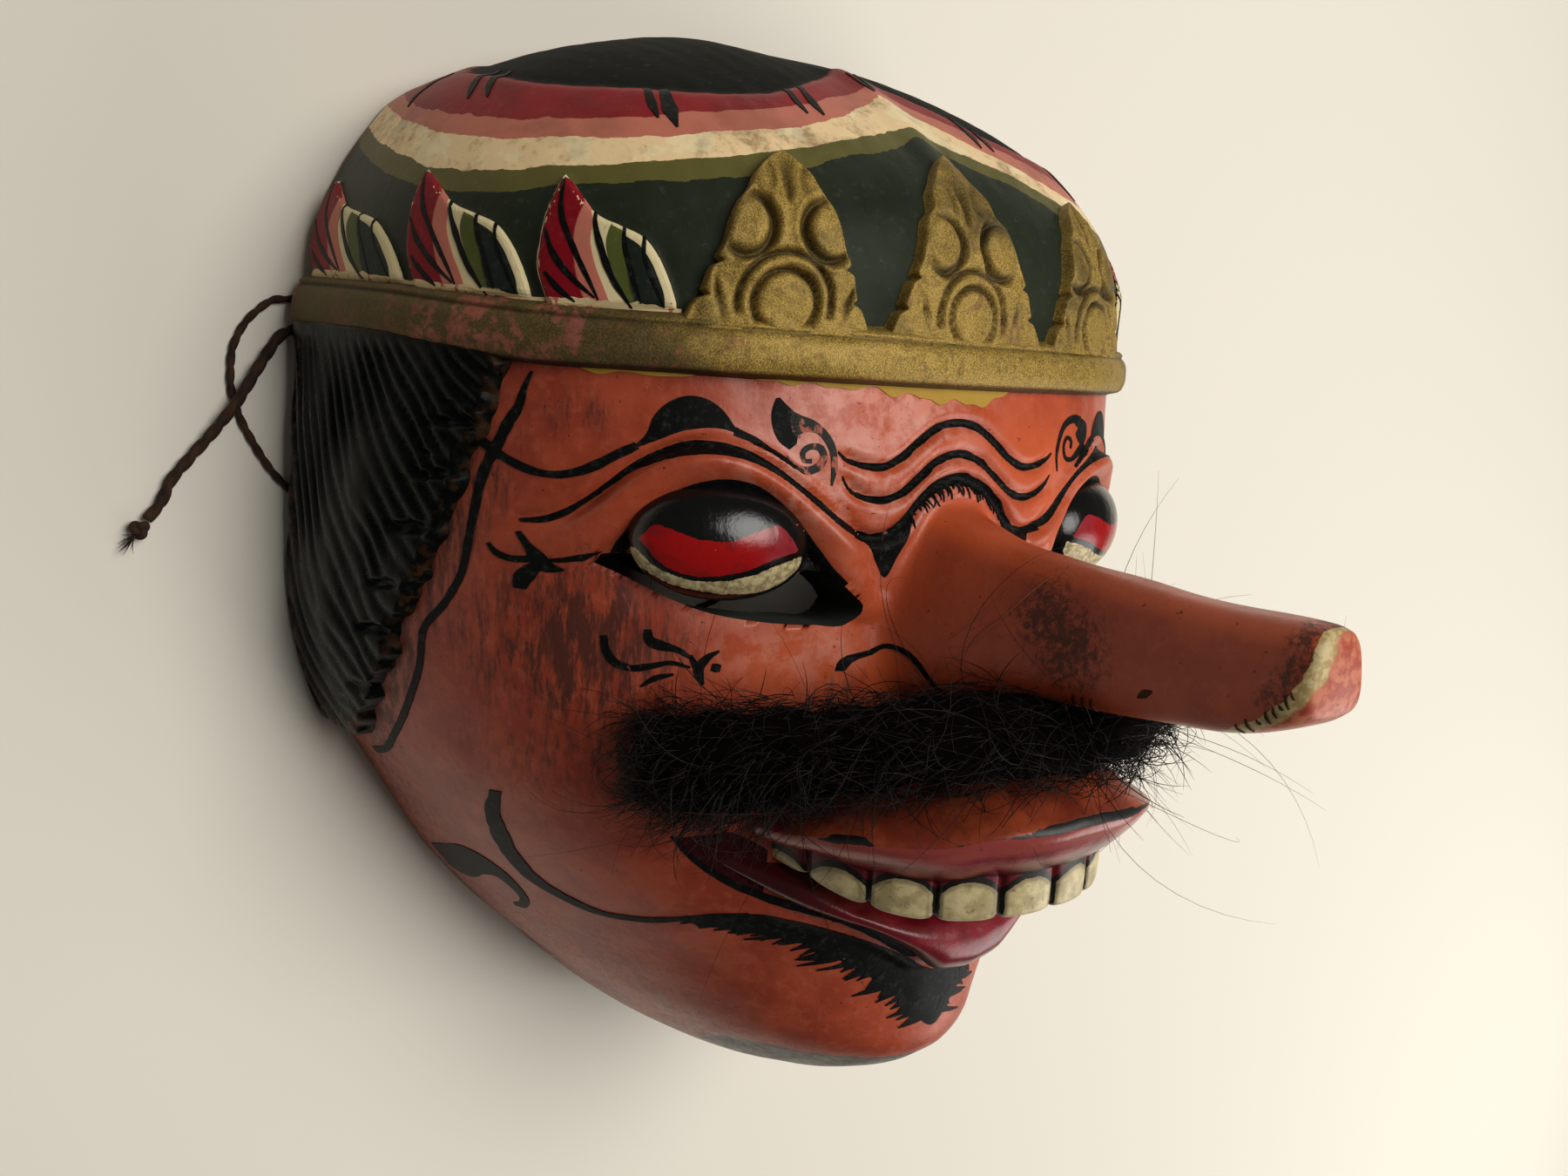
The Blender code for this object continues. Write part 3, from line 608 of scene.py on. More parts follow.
eye = {"centre": (38.0, 12.0), "radii": (13.2, 8.6, 6.6), "proud": 3.2, "turn": 20, "roll": 4,
       "socketDepth": 3.0,
       "slitLower": [(55.0, 8.9), (51.5, 7.0), (47.5, 4.7), (41.0, 1.9), (33.0, 0.4), (25.0, -0.2),
                     (18.8, -0.1), (17.3, 1.2)],
       "slitUpper": [(17.1, 2.7), (18.6, 4.1), (21.4, 6.3), (26.0, 7.8), (30.0, 5.6), (36.5, 4.4),
                     (44.0, 6.0), (47.6, 8.6), (50.5, 9.6), (53.2, 9.5)]}

# carved lines of the brow, right side, (x, y): grooves that the black paint follows
browLines = {
    "main": [(61.5, 13.9), (58.9, 14.2), (56.9, 15.2), (54.8, 17.0), (52.4, 19.5), (49.6, 22.4),
             (46.7, 24.3), (43.5, 25.4), (40.5, 25.5), (37.2, 24.8), (33.4, 23.1), (29.3, 20.6),
             (25.5, 17.9), (22.1, 15.3), (19.0, 13.3), (16.0, 12.7), (13.0, 13.4), (10.6, 15.0),
             (8.4, 17.6), (4.8, 20.2), (0, 21.5)],
    "upperWrinkle": [(22.6, 24.9), (20.0, 23.9), (17.6, 23.3), (14.6, 23.2), (11.6, 24.5), (8.0, 27.0),
                     (4.2, 29.2), (0, 29.9)],
    "lowerWrinkle": [(21.8, 21.3), (19.8, 19.6), (17.4, 18.6), (14.6, 18.3), (11.8, 19.1), (8.1, 21.6),
                     (4.2, 24.2), (0, 25.2)],
}
rollLine = [(60, 9.8), (56, 11.4), (52, 14.9), (48.5, 18.9), (44.5, 21.8), (40, 22.9), (35.5, 22.3),
            (30.5, 19.6), (26, 15.6), (22, 11.2), (18.5, 6.6), (16.4, 2.6)]


def groove(distance, half, depth):
    # a rounded V
    return -depth * np.clip(1 - (distance / half)**2, 0, None)**1.3


def faceRelief(base, angle):
    x, y, z = np.abs(base[..., 0]), base[..., 1], base[..., 2]
    front = ramp(16, 26, z) * ramp(35.5, 33.5, y) * (y > -30)
    ex, ey = x - eye["centre"][0], y - eye["centre"][1]
    radius = np.hypot(ex / 18.5, (ey + 0.1 * ex) / 13.0)
    height = -eye["socketDepth"] * ramp(1.05, 0.3, radius) * front
    near = (y > -8) & (y < 36) & (z > 20)
    px, py = x[near], y[near]
    part = np.zeros(px.shape)
    away, share = lineDistance(px, py, splineThrough(rollLine, 40))
    rollHalf = np.interp(share, [0, 0.2, 0.5, 0.8, 1], [2.0, 3.2, 3.7, 3.9, 3.0])
    rollRise = np.interp(share, [0, 0.15, 0.4, 0.85, 1], [0.2, 1.3, 2.5, 2.4, 1.2])
    part += rollRise * np.clip(1 - (away / rollHalf)**2, 0, None)**0.8
    for key, half, depth in (("main", 1.25, 1.1), ("upperWrinkle", 1.0, 0.9), ("lowerWrinkle", 1.0, 0.9)):
        away, share = lineDistance(px, py, splineThrough(browLines[key], 50))
        fade = ramp(0, 0.12, share) if key == "main" else ramp(0, 0.1, share)
        part += groove(away, half, depth * (0.25 + 0.75 * fade))
        part += 0.35 * np.exp(-((away - half - 0.8) / 0.9)**2) * fade
    height[near] += part * front[near]
    pouch = 0.9 * np.exp(-((x - 19) / 6.5)**2 - ((y + 6) / 5)**2)
    # a narrow ridge follows the lower lip
    lipLine = smoothCurve(mouth["lowerLow"], np.degrees(np.arcsin(np.clip(x / 32, 0, 1))))
    ridge = 0.8 * np.exp(-((y - lipLine + 2.7) / 1.1)**2) * ramp(31, 26, x) * ramp(55, 65, z)
    return (height + pouch + ridge + 0.14 * wobble(base[..., 0], y, 16, 3)
            + 0.05 * wobble(base[..., 0], y, 5, 4))


def hairRelief(base, angle):
    y, z = base[..., 1], base[..., 2]
    past = z - smoothCurve(hair["edge"], y)
    ragged = 0.9 * wobble(y, z * 0.3, 6, 13) + 0.5 * wobble(y, z * 0.3, 2.6, 14)
    body = (ramp(0.6, -2.0, past + ragged) * ramp(hair["low"] - 0.8, hair["low"] + 1.0, y)
            * ramp(0.15, 0.0, band(y, angle)))
    a = z - rimHeight(y) * 0.5                       # mm in from the rim
    b = np.clip(hair["top"] + 2 - y, 0, None)        # mm down from the band
    flow = a * np.exp(-b / 60) - 0.0028 * b**2
    flow = flow + 0.5 * wobble(a, b * 0.5, 17, 11) + 0.3 * wobble(a, b * 0.25, 7, 15)
    phase = flow / hair["grooveStep"]
    deep = (0.7 + 0.35 * wobble(a, b * 0.4, 9, 12)) * ramp(0.5, 4, b)
    # two locks left smoother: mm in from the rim, mm down, and their sizes
    locks = ((28, 24, 4.5, 6.5), (17.5, 45, 4, 6))
    lock = sum(np.exp(-((a - la) / lw)**2 - ((b - lb) / lh)**2) for la, lb, lw, lh in locks)
    ridges = (-hair["grooveDepth"] * deep * (1 - np.abs(np.sin(math.pi * phase))**0.7)
              * (1 - 0.9 * np.clip(lock, 0, 1)))
    chips = (-1.5 * np.clip(wobble(b * 1.1, a * 0.45, 4.4, 16) - 0.3, 0, 1) * ramp(-11, -6, past)
             * ramp(4, 9, b))
    return (-0.7 + body * (hair["rise"] + 0.7) + (ridges + chips) * body * ramp(0.4, 2.5, a)
            + 0.7 * np.clip(lock, 0, 1) * body)


def clothRelief(base, angle):
    x, y = base[..., 0], base[..., 1]
    degrees = np.degrees(angle)
    rolled = 0.9 * ramp(1.2, -1.2, y - stripeHeight(degrees, "redTop")) * ramp(44, 60, y)
    fold = 0.9 * np.exp(-(x / 3.2)**2) * ramp(60, 72, y) * ramp(90, 84, y)
    raised = 0.0
    for leafSide in (-1, 1):
        for spot in paintedLeaves:
            outline = leafOutline(spot, leafSide)
            away = outlineDistance(degrees * 1.25, y, outline * (1.25, 1))[0]
            raised = np.maximum(raised, 0.8 * ramp(0.35, -0.5, away))
    return rolled + fold + raised + 0.22 * wobble(x, y, 22, 5) + 0.06 * wobble(x, y, 6, 6)


# edges of the headcloth's stripes, (degrees round from the middle, y)
stripes = {
    "redTop": [(0, 86.0), (12.2, 81.1), (22.5, 76.6), (36, 74.7), (50, 75.3), (60, 77.4), (73, 80.4),
               (92, 86)],
    "redPink": [(0, 81.3), (11, 77.5), (23.3, 73.2), (32.3, 71.0), (40, 69.6), (50, 68.7), (63, 70.5),
                (72, 72.8), (92, 79)],
    "pinkCream": [(0, 79.5), (6.5, 76.6), (12.9, 73.6), (24.1, 69.5), (32.1, 67.7), (41.4, 66.2),
                  (51.5, 66.0), (62, 67.3), (69, 69.4), (92, 77)],
    "creamOlive": [(0, 73.6), (8.4, 71.2), (14, 69.6), (22.6, 66.7), (32.5, 63.9), (44, 62.1), (55, 61.3),
                   (62, 62.0), (75.6, 66.8), (92, 73)],
    "oliveGreen": [(0, 72.2), (7, 69.3), (14, 67.2), (21.4, 64.3), (29, 61.8), (36.5, 60.5), (46, 59.3),
                   (56, 58.3), (67, 60.4), (77.8, 64.8), (92, 70.8)],
}

# painted leaves of the crown: degrees at the foot, tip degrees, tip height
paintedLeaves = [(34.7, 48.6, 47.4, 60.5), (48.9, 64.6, 65.0, 61.8), (64.9, 88.0, 87.0, 62.0)]
leafShape = {
    "outer": [(0.0, 0.0), (0.87, 0.02), (0.93, 0.14), (1.0, 0.33), (1.0, 0.5), (0.99, 0.7), (0.95, 0.87),
              (0.91, 1.0)],
    "inner": [(0.91, 1.0), (0.83, 0.92), (0.72, 0.8), (0.61, 0.71), (0.41, 0.63), (0.27, 0.57), (0.17, 0.46),
              (0.09, 0.32), (0.03, 0.18), (0.0, 0.08)],
}


def stripeHeight(degrees, key):
    return smoothCurve(stripes[key], np.abs(degrees))


def leafPlace(spot, side, places):
    # (share round, share up) in a painted leaf's own frame to (degrees, y)
    foot, heel, tip, tipY = spot
    places = np.array(places, float)
    up = places[:, 1]
    degrees = foot + (heel - foot) * places[:, 0] + (tip - heel) * up**2 * places[:, 0]
    base = smoothCurve(forehead["top"], degrees) - 0.2
    return np.stack([side * degrees, base + (tipY - base) * up], -1)


def leafOutline(spot, side):
    outline = np.vstack([splineThrough(leafShape["outer"][1:], 24),
                         splineThrough(leafShape["inner"], 40)[1:]])
    return leafPlace(spot, side, outline)


def bandRelief(base, angle):
    x, y = base[..., 0], base[..., 1]
    return (smoothCurve(forehead["profile"], band(y, angle)) + 0.16 * wobble(x, y * 1.5, 13, 7)
            + 0.07 * wobble(x, y, 4, 8))


def faceTones(base):
    # how the flesh paint is toned: grime and painted shade, rubbed orange and painted highlight, and pink
    # chalk bloom
    x, y, z = base[..., 0], base[..., 1], base[..., 2]
    across = np.abs(x)

    def spot(cx, cy, rx, ry):
        return np.exp(-((across - cx) / rx)**2 - ((y - cy) / ry)**2)

    past = z - smoothCurve(hair["edge"], y)
    upBand = band(y, angleOf(base))
    # grime and painted shade: darker beside the hair, at the eye's outer corner, on the cheek, beside the
    # nose's foot, in a patch on the forehead, at the chin's bottom edge, towards the rim and low on the
    # face; the line just under the band is a painted shadow
    grime_and_shade = np.maximum.reduce([
        0.75 * ramp(13, -2, past) * ramp(-45, -20, y) * ramp(32, 20, y),
        0.95 * spot(54, -4, 13, 13), 0.55 * spot(46, -20, 20, 14), 0.6 * spot(20, -12, 9, 5),
        0.5 * spot(56, 29, 5, 4), 1.2 * ramp(-84.5, -89, y), 0.45 * ramp(34, 12, z) * ramp(0, -30, y),
        ramp(-0.17, -0.05, upBand) * ramp(0.3, 0.1, upBand), 0.25 * ramp(-45, -58, y)])
    # bright orange on the chin's front, beside the nose, on the forehead, under the eyes and on the lid
    # roll, stronger towards the right: rubbed paint, and painted highlight on the lit side
    rub_and_highlight = (0.25 * spot(0, -62, 26, 10) * ramp(60, 80, z) + 0.6 * spot(22, 10, 12, 16)
            + 0.55 * spot(8, 26, 30, 9) + 0.9 * spot(24, -6, 13, 6) + 0.3 * spot(46, 20, 12, 6))
    rub_and_highlight = rub_and_highlight * (0.8 + 0.4 * ramp(-20, 40, x))
    # darker olive-black along the chin's underside
    under = y + 72.8
    chin_underside_dark = (ramp(1.0, -1.4, under) * (0.3 + 0.7 * ramp(-14, -6, under)) * ramp(28, 21, across)
            * ramp(40, 55, z))
    # pink chalk bloom on the forehead, by the eye's inner corner and under the eye; the spot on the lid roll
    # is a painted highlight
    chalk_and_highlight = (ramp(14, -12, x) * ramp(-42, -24, x) * ramp(12, 20, y) + 0.35 * spot(20, 6, 8, 6)
             + 0.8 * spot(27, -4, 12, 4.5) + 0.6 * spot(30, 20, 10, 5))
    return {"grime_and_shade": np.clip(grime_and_shade, 0, 1), "rub_and_highlight": np.clip(rub_and_highlight, 0, 1), "chalk_and_highlight": np.clip(chalk_and_highlight, 0, 1),
            "chin_underside_dark": chin_underside_dark, "streak": ramp(-60, -40, y)}


def makeFace():
    y = np.concatenate([evenRows(-shell["halfHeight"], -72, 0.95)[:-1], evenRows(-72, 35.0, 0.6)[:-1],
                        evenRows(35.0, 40.6, 1.4)])
    lowZ = (smoothCurve(hair["edge"], y) - 7) * ramp(-27.5, -18, y)
    edge = heightAngle(np.maximum(lowZ, rimHeight(y)), y)
    angle = evenColumns(y, -edge, edge, 324)
    rows = np.broadcast_to(y[:, None], angle.shape).copy()
    base = shellPoint(angle, rows)
    inside = cutSlits(angle, rows, base, 0.45, frontPlace, 20)
    points = carved(faceRelief, angle, rows)
    faces = punchHole(gridFaces(*angle.shape), inside)
    piece = addMesh("face", points, faces, fleshPaint, faceTones(base))
    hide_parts("mask")
    return points.reshape(-1, 3), faces


def slitOutline(side, count=150):
    # the crescent under the eyeball, as a closed outline
    whole = eye["slitLower"] + eye["slitUpper"]
    closed = splineThrough(whole + whole[:1], count + 1)[:-1]
    return closed * (side, 1)


def cutSlits(angle, rows, base, snapMm, place, lowest):
    # moves the grid's points near an eye slit onto its outline and marks the points inside it
    inside = np.zeros(rows.size, bool)
    for side in (-1, 1):
        near = (np.abs(base[..., 0] - side * 35) < 22) & (np.abs(rows - 4) < 9) & (base[..., 2] > lowest)
        away, nearX, nearY = outlineDistance(base[..., 0][near], rows[near], slitOutline(side))
        snap, index = np.abs(away) < snapMm, np.flatnonzero(near.ravel())
        angle.ravel()[index[snap]], rows.ravel()[index[snap]] = place(nearX[snap], nearY[snap])
        inside[index[(away < 0) & ~snap]] = True
    return inside


def makeSlitWalls():
    parts = []
    for side in (-1, 1):
        outline = slitOutline(side)
        if side < 0:
            outline = outline[::-1]
        angle, y = frontPlace(outline[:, 0], outline[:, 1])
        front = carved(faceRelief, angle, y)
        back = innerPoint(*innerPlace(outline[:, 0], outline[:, 1]))
        share = np.linspace(0, 1, 14)[:, None, None]
        parts.append(front[None] * (1 - share) + back[None] * share)
    faces = gridFaces(14, parts[0].shape[1], wrap=True)
    both = np.vstack([faces, faces + parts[0][..., 0].size])
    addMesh("slit_walls", np.concatenate([p.reshape(-1, 3) for p in parts]), both[:, ::-1], slitShade)


def innerPlace(x, y):
    return frontPlace(x, y, shell["rimWall"], shell["frontWall"])


def innerPoint(angle, y):
    # hollow side: shallow gouge marks across the wood
    point = shellPoint(angle, y, shell["rimWall"], shell["frontWall"])
    normal = shellNormal(angle, y, shell["rimWall"], shell["frontWall"])
    along = point[..., 1] / 7.5 + 0.35 * wobble(point[..., 0], point[..., 1], 40, 21)
    across = point[..., 0] / 11 + 0.5 * np.round(along) + 0.2 * wobble(point[..., 0], point[..., 1], 30, 22)
    scoop = 0.35 * (np.abs(np.sin(math.pi * along))**0.8 * 0.8 + 0.3 * np.abs(np.sin(math.pi * across)))
    return point + normal * (scoop * ramp(0, 9, point[..., 2]))[..., None]


def makeBack():
    half, wall = shell["halfHeight"], shell["rimWall"]
    y = evenRows(-half, half, 1.45)
    rimAngle = heightAngle(rimHeight(y), y)
    innerY = y * (half - wall) / half
    lift = rimHeight(innerY)
    innerAngle = heightAngle(lift, innerY, wall, shell["frontWall"])
    angle = np.linspace(-1, 1, 122) * innerAngle[:, None]
    rows = np.broadcast_to(innerY[:, None], angle.shape).copy()
    base = shellPoint(angle, rows, wall, shell["frontWall"])
    inside = cutSlits(angle, rows, base, 0.8, innerPlace, -1).reshape(rows.shape)
    hollow = innerPoint(angle, rows)
    outerLeft, outerRight = carved(rimRelief, -rimAngle, y), carved(rimRelief, rimAngle, y)
    outerLeft[:, 2] = outerRight[:, 2] = rimHeight(y)
    hollow[:, 0, 2] = hollow[:, -1, 2] = lift
    steps = np.linspace(0, 1, 8)[:-1, None]
    left = outerLeft[:, None] * (1 - steps) + hollow[:, :1] * steps
    right = outerRight[:, None] * (1 - steps) + hollow[:, -1:] * steps
    points = np.concatenate([left, hollow, right[:, ::-1]], 1)
    hidden = np.pad(inside, ((0, 0), (7, 7)))
    faces = punchHole(gridFaces(len(y), points.shape[1]), hidden.ravel())
    addMesh("hollow_back", points, faces[:, ::-1], bareWood)


def rimRelief(base, angle):
    # relief of whichever part of the carving meets the rim at this height
    y = base[..., 1]
    bandPart = smoothCurve(forehead["profile"], band(y, angle))
    hairPart = hair["rise"] * ramp(hair["low"] - 0.8, hair["low"] + 1.0, y) * (band(y, angle) < 0.05)
    return np.maximum(np.maximum(bandPart, hairPart), 0)


def makeHair(side):
    y = np.arange(hair["low"] - 1.4, hair["top"] + 4.6, 0.46)
    start = heightAngle(rimHeight(y), y)
    end = heightAngle(smoothCurve(hair["edge"], y) + 1.2, y)
    angle = evenColumns(y, start, end, 146)
    if side > 0:
        angle = angle[:, ::-1]
    rows = np.broadcast_to(y[:, None], angle.shape)
    base = shellPoint(angle, rows)
    rub = (ramp(-19, -26, rows) + 0.8 * ramp(6, 1, base[..., 2] - rimHeight(rows))
           + 0.35 * ramp(-3, 0.5, base[..., 2] - smoothCurve(hair["edge"], rows)))
    points = carved(hairRelief, side * angle, rows)
    addMesh("hair_right" if side > 0 else "hair_left", points, gridFaces(*angle.shape), blackPaint,
            {"rub": np.clip(rub, 0, 1)})


def makeCloth():
    y = evenRows(42.2, shell["halfHeight"], 0.74)
    edge = heightAngle(rimHeight(y), y)
    angle = evenColumns(y, -edge, edge, 396)
    rows = np.broadcast_to(y[:, None], angle.shape)
    degrees = np.degrees(angle)
    base = shellPoint(angle, rows)
    # 0 to 6 up through the stripes, a whole number at each stripe's edge
    heights = [stripeHeight(degrees, key) for key in ("oliveGreen", "creamOlive", "pinkCream", "redPink",
                                                      "redTop")]
    heights = [heights[0] - 6] + heights + [heights[-1] + 6]
    stripe = sum(np.clip((rows - low) / (high - low), 0, 1) for low, high in zip(heights[:-1], heights[1:]))
    points = carved(clothRelief, angle, rows)
    addMesh("headcloth", points, gridFaces(*angle.shape), clothPaint,
            {"stripe": stripe, "rimward": ramp(2.6, 0.4, base[..., 2])})
    return points.reshape(-1, 3), gridFaces(*angle.shape)


def makeBand():
    share = np.concatenate([np.linspace(-0.28, -0.14, 4), np.linspace(-0.12, 0.06, 9),
                            np.linspace(0.1, 0.74, 12), np.linspace(0.77, 1.16, 14),
                            np.linspace(1.2, 1.28, 2)])
    fan = np.linspace(-1, 1, 470)
    y = np.full((len(share), 470), 39.0)
    for _ in range(6):
        angle = fan * heightAngle(rimHeight(y), y)
        low, top = (smoothCurve(forehead[key], np.abs(np.degrees(angle))) for key in ("low", "top"))
        y = low + (top - low) * share[:, None]
    x = shellPoint(angle, y)[..., 0]
    points = carved(bandRelief, angle, y)
    # duller olive towards the band's ends: tarnish, with painted shade that leaves the left end darker than
    # the lit right
    dull_and_shade = ramp(28, 58, np.abs(x)) * (1 - 0.35 * ramp(0, 60, x))
    rimward = ramp(5.0, 3.0, points[..., 2])
    # darker in the groove under the bead, below the band's lower edge and at its top edge: painted shade
    cut_and_shade = (0.6 * np.exp(-((share - 0.86) / 0.035)**2) + 0.9 * ramp(0.02, -0.06, share)
           + 0.35 * ramp(1.0, 1.1, share))
    addMesh("forehead_band", points, gridFaces(*angle.shape), giltPaint,
            {"dull_and_shade": dull_and_shade, "cut_and_shade": np.clip(cut_and_shade, 0, 1)[:, None] + 0 * x,
             "loss": ramp(22, 34, np.abs(x)) * ramp(76, 66, np.abs(x)) * (0.4 + 0.6 * ramp(20, -20, x))
             + rimward, "rimward": rimward})


goldLeaves = [  # (middle degrees, [(y, half-width in degrees)])
    (0.0, [(41.5, 12.4), (44, 11.6), (47, 10.4), (50, 9.6), (53, 8.4), (56, 7.7), (58.5, 7.0), (60.2, 5.6),
           (62, 5.3), (64.4, 3.6), (66.6, 1.9), (68.2, 0.02)]),
    (24.3, [(41.5, 10.2), (44, 9.5), (47, 8.3), (50, 7.7), (53, 6.6), (56, 6.0), (58.4, 5.2), (60, 4.2),
            (62, 3.4), (64, 1.8), (65.4, 0.02)]),
]


def leafRelief(s, t, half):
    # s mm from the leaf's middle line, t mm above the band: rise over the cloth, and depth of cut
    edge = np.clip(half - np.abs(s), 0, None)
    plate = 1.9 * ramp(-0.1, 0.7, edge) + 0.12 * ramp(1.0, 4.0, edge)
    r = np.hypot(s, t - 2.4)
    cut_and_shade = 1.4 * np.exp(-((r - 4.5) / 0.34)**2) + 1.3 * np.exp(-((r - 6.7) / 0.36)**2) * ramp(0.2, 1.4, t)
    rise = 0.3 * ramp(4.3, 3.4, r) + 0.2 * np.exp(-((r - 5.6) / 0.5)**2)
    for side in (-1, 1):
        ds, dt = s - side * 6.0, t - 12.2
        rr = np.hypot(ds, dt)
        inward = ramp(-2.8, 2.5, -side * ds - 0.4 * dt + 0.6)
        cut_and_shade = cut_and_shade + 1.5 * np.exp(-((rr - 3.8) / (0.28 + 0.3 * inward))**2) * inward
        rise = (rise + 0.3 * ramp(3.5, 2.6, rr) + 0.3 * np.exp(-((rr - 5.1) / 0.4)**2) * inward
                * ramp(6.5, 8.5, r))
        flame = np.abs(side * s - 8.6 - 0.25 * t) + 0.2 * np.abs(t - 3)
        cut_and_shade = cut_and_shade + 0.9 * np.exp(-(flame / 0.5)**2) * ramp(6.4, 5.0, t)
    cut_and_shade = (cut_and_shade + 0.8 * np.exp(-(s / (0.35 + 0.13 * np.clip(t - 15.5, 0, 9)))**2) * ramp(14.5, 16, t)
           * ramp(23, 19, t))
    cut_and_shade = (cut_and_shade + 0.35 * np.exp(-((np.abs(s) - 2.1 - 0.3 * np.abs(t - 18)) / 0.5)**2) * ramp(15.5, 17.5, t)
           * ramp(21.5, 19.5, t))
    inside = ramp(0.3, 1.3, edge)
    return plate + (rise - cut_and_shade) * inside, cut_and_shade * inside


def makeGoldLeaves():
    points, faces, cut_and_shade_values, total = [], [], [], 0
    for middle, outline in goldLeaves:
        for side in ((1,) if middle == 0 else (-1, 1)):
            v = np.linspace(0, 1, 120)
            y = outline[0][0] + (outline[-1][0] - outline[0][0]) * (1 - (1 - v)**1.15)
            half = smoothCurve(outline, y)
            for notch in (46.0, 50.4):
                half = half - 0.8 * np.exp(-((y - notch) / 0.4)**2)
            u = np.concatenate([[-1], np.sin(np.linspace(-1, 1, 84) * math.pi / 2), [1]])
            degrees = side * middle + u[None] * half[:, None]
            rows = np.broadcast_to(y[:, None], degrees.shape)
            angle = np.radians(degrees)
            perDegree = np.linalg.norm(shellPoint(angle + 0.005, rows) - shellPoint(angle - 0.005, rows),
                                       axis=-1)
            perDegree = perDegree / math.degrees(0.01)
            s, halfMm = (degrees - side * middle) * perDegree, half[:, None] * perDegree
            rise, cut_and_shade = leafRelief(s, rows - 43.0, halfMm)
            uneven = (0.14 * wobble(s, rows, 5, 31 + len(points))
                      + 0.06 * wobble(s, rows, 2.2, 41 + len(points)))
            rise = rise + uneven * ramp(0.2, 1.5, halfMm - np.abs(s))
            rise[:, 0] = rise[:, -1] = -0.9
            grid = carved(lambda base, _: clothRelief(base, angle) + rise, angle, rows)
            faces.append(gridFaces(*angle.shape) + total)
            points.append(grid.reshape(-1, 3))
            cut_and_shade_values.append(cut_and_shade.ravel())
            total += rows.size
    cut_and_shade_values = np.concatenate(cut_and_shade_values)
    # the carved cuts are darkened with painted shade
    addMesh("gold_leaves", np.vstack(points), np.vstack(faces), giltPaint,
            {"cut_and_shade": np.clip(cut_and_shade_values * 0.9, 0, 0.8), "dull_and_shade": 0.32 + 0 * cut_and_shade_values, "loss": 0.35 + 0 * cut_and_shade_values})


nose = {
    # (z, top y, bottom y, half-width at the bottom, half-width at the top)
    "stations": [(72, 20.5, -15, 18.5, 10.5), (78, 18.4, -13.4, 16, 8.6), (84, 15.8, -11.6, 13.4, 6.8),
                 (96, 12.9, -9, 10.6, 5.4), (110, 11.9, -7.0, 9.2, 4.8), (126, 10.7, -5.4, 8.6, 4.7),
                 (136, 10.6, -3.9, 8.2, 4.8), (142, 10.5, -1.8, 7.4, 4.9), (144.2, 10.0, -0.2, 6.4, 4.4),
                 (145.0, 9.2, 0.8, 5.6, 3.8)],
    # radius where it meets the face, by degrees round the outline from the right side
    "fillet": [(-90, 2.0), (-30, 3.2), (0, 2.6), (30, 1.3), (90, 1.4)],
    # the worn tip lies past this line of the side, (y, z)
    "tipLine": [(-8, 126), (-4.5, 132), (-2.6, 135.4), (-0.6, 138.6), (2.0, 141.0), (5.2, 142.8),
                (8.0, 143.3), (12, 143.3)],
}


def noseSection(turn, z):
    # superellipse with a narrow top: up = |sin|^0.75, side = |cos|^0.5
    rows = np.array(nose["stations"], float)
    top, low, wide, narrow = (smoothCurve(list(zip(rows[:, 0], rows[:, k])), z) for k in (1, 2, 3, 4))
    up = np.sign(np.sin(turn)) * np.abs(np.sin(turn))**0.75
    side = np.sign(np.cos(turn)) * np.abs(np.cos(turn))**0.5
    across = ((wide + narrow) / 2 - (wide - narrow) / 2 * up) * side
    return np.stack([across, (top + low) / 2 + (top - low) / 2 * up, z], -1)


def faceHeight(x, y):
    # z of the carved face in front of (x, y)
    return carved(faceRelief, *frontPlace(x, y))[..., 2]


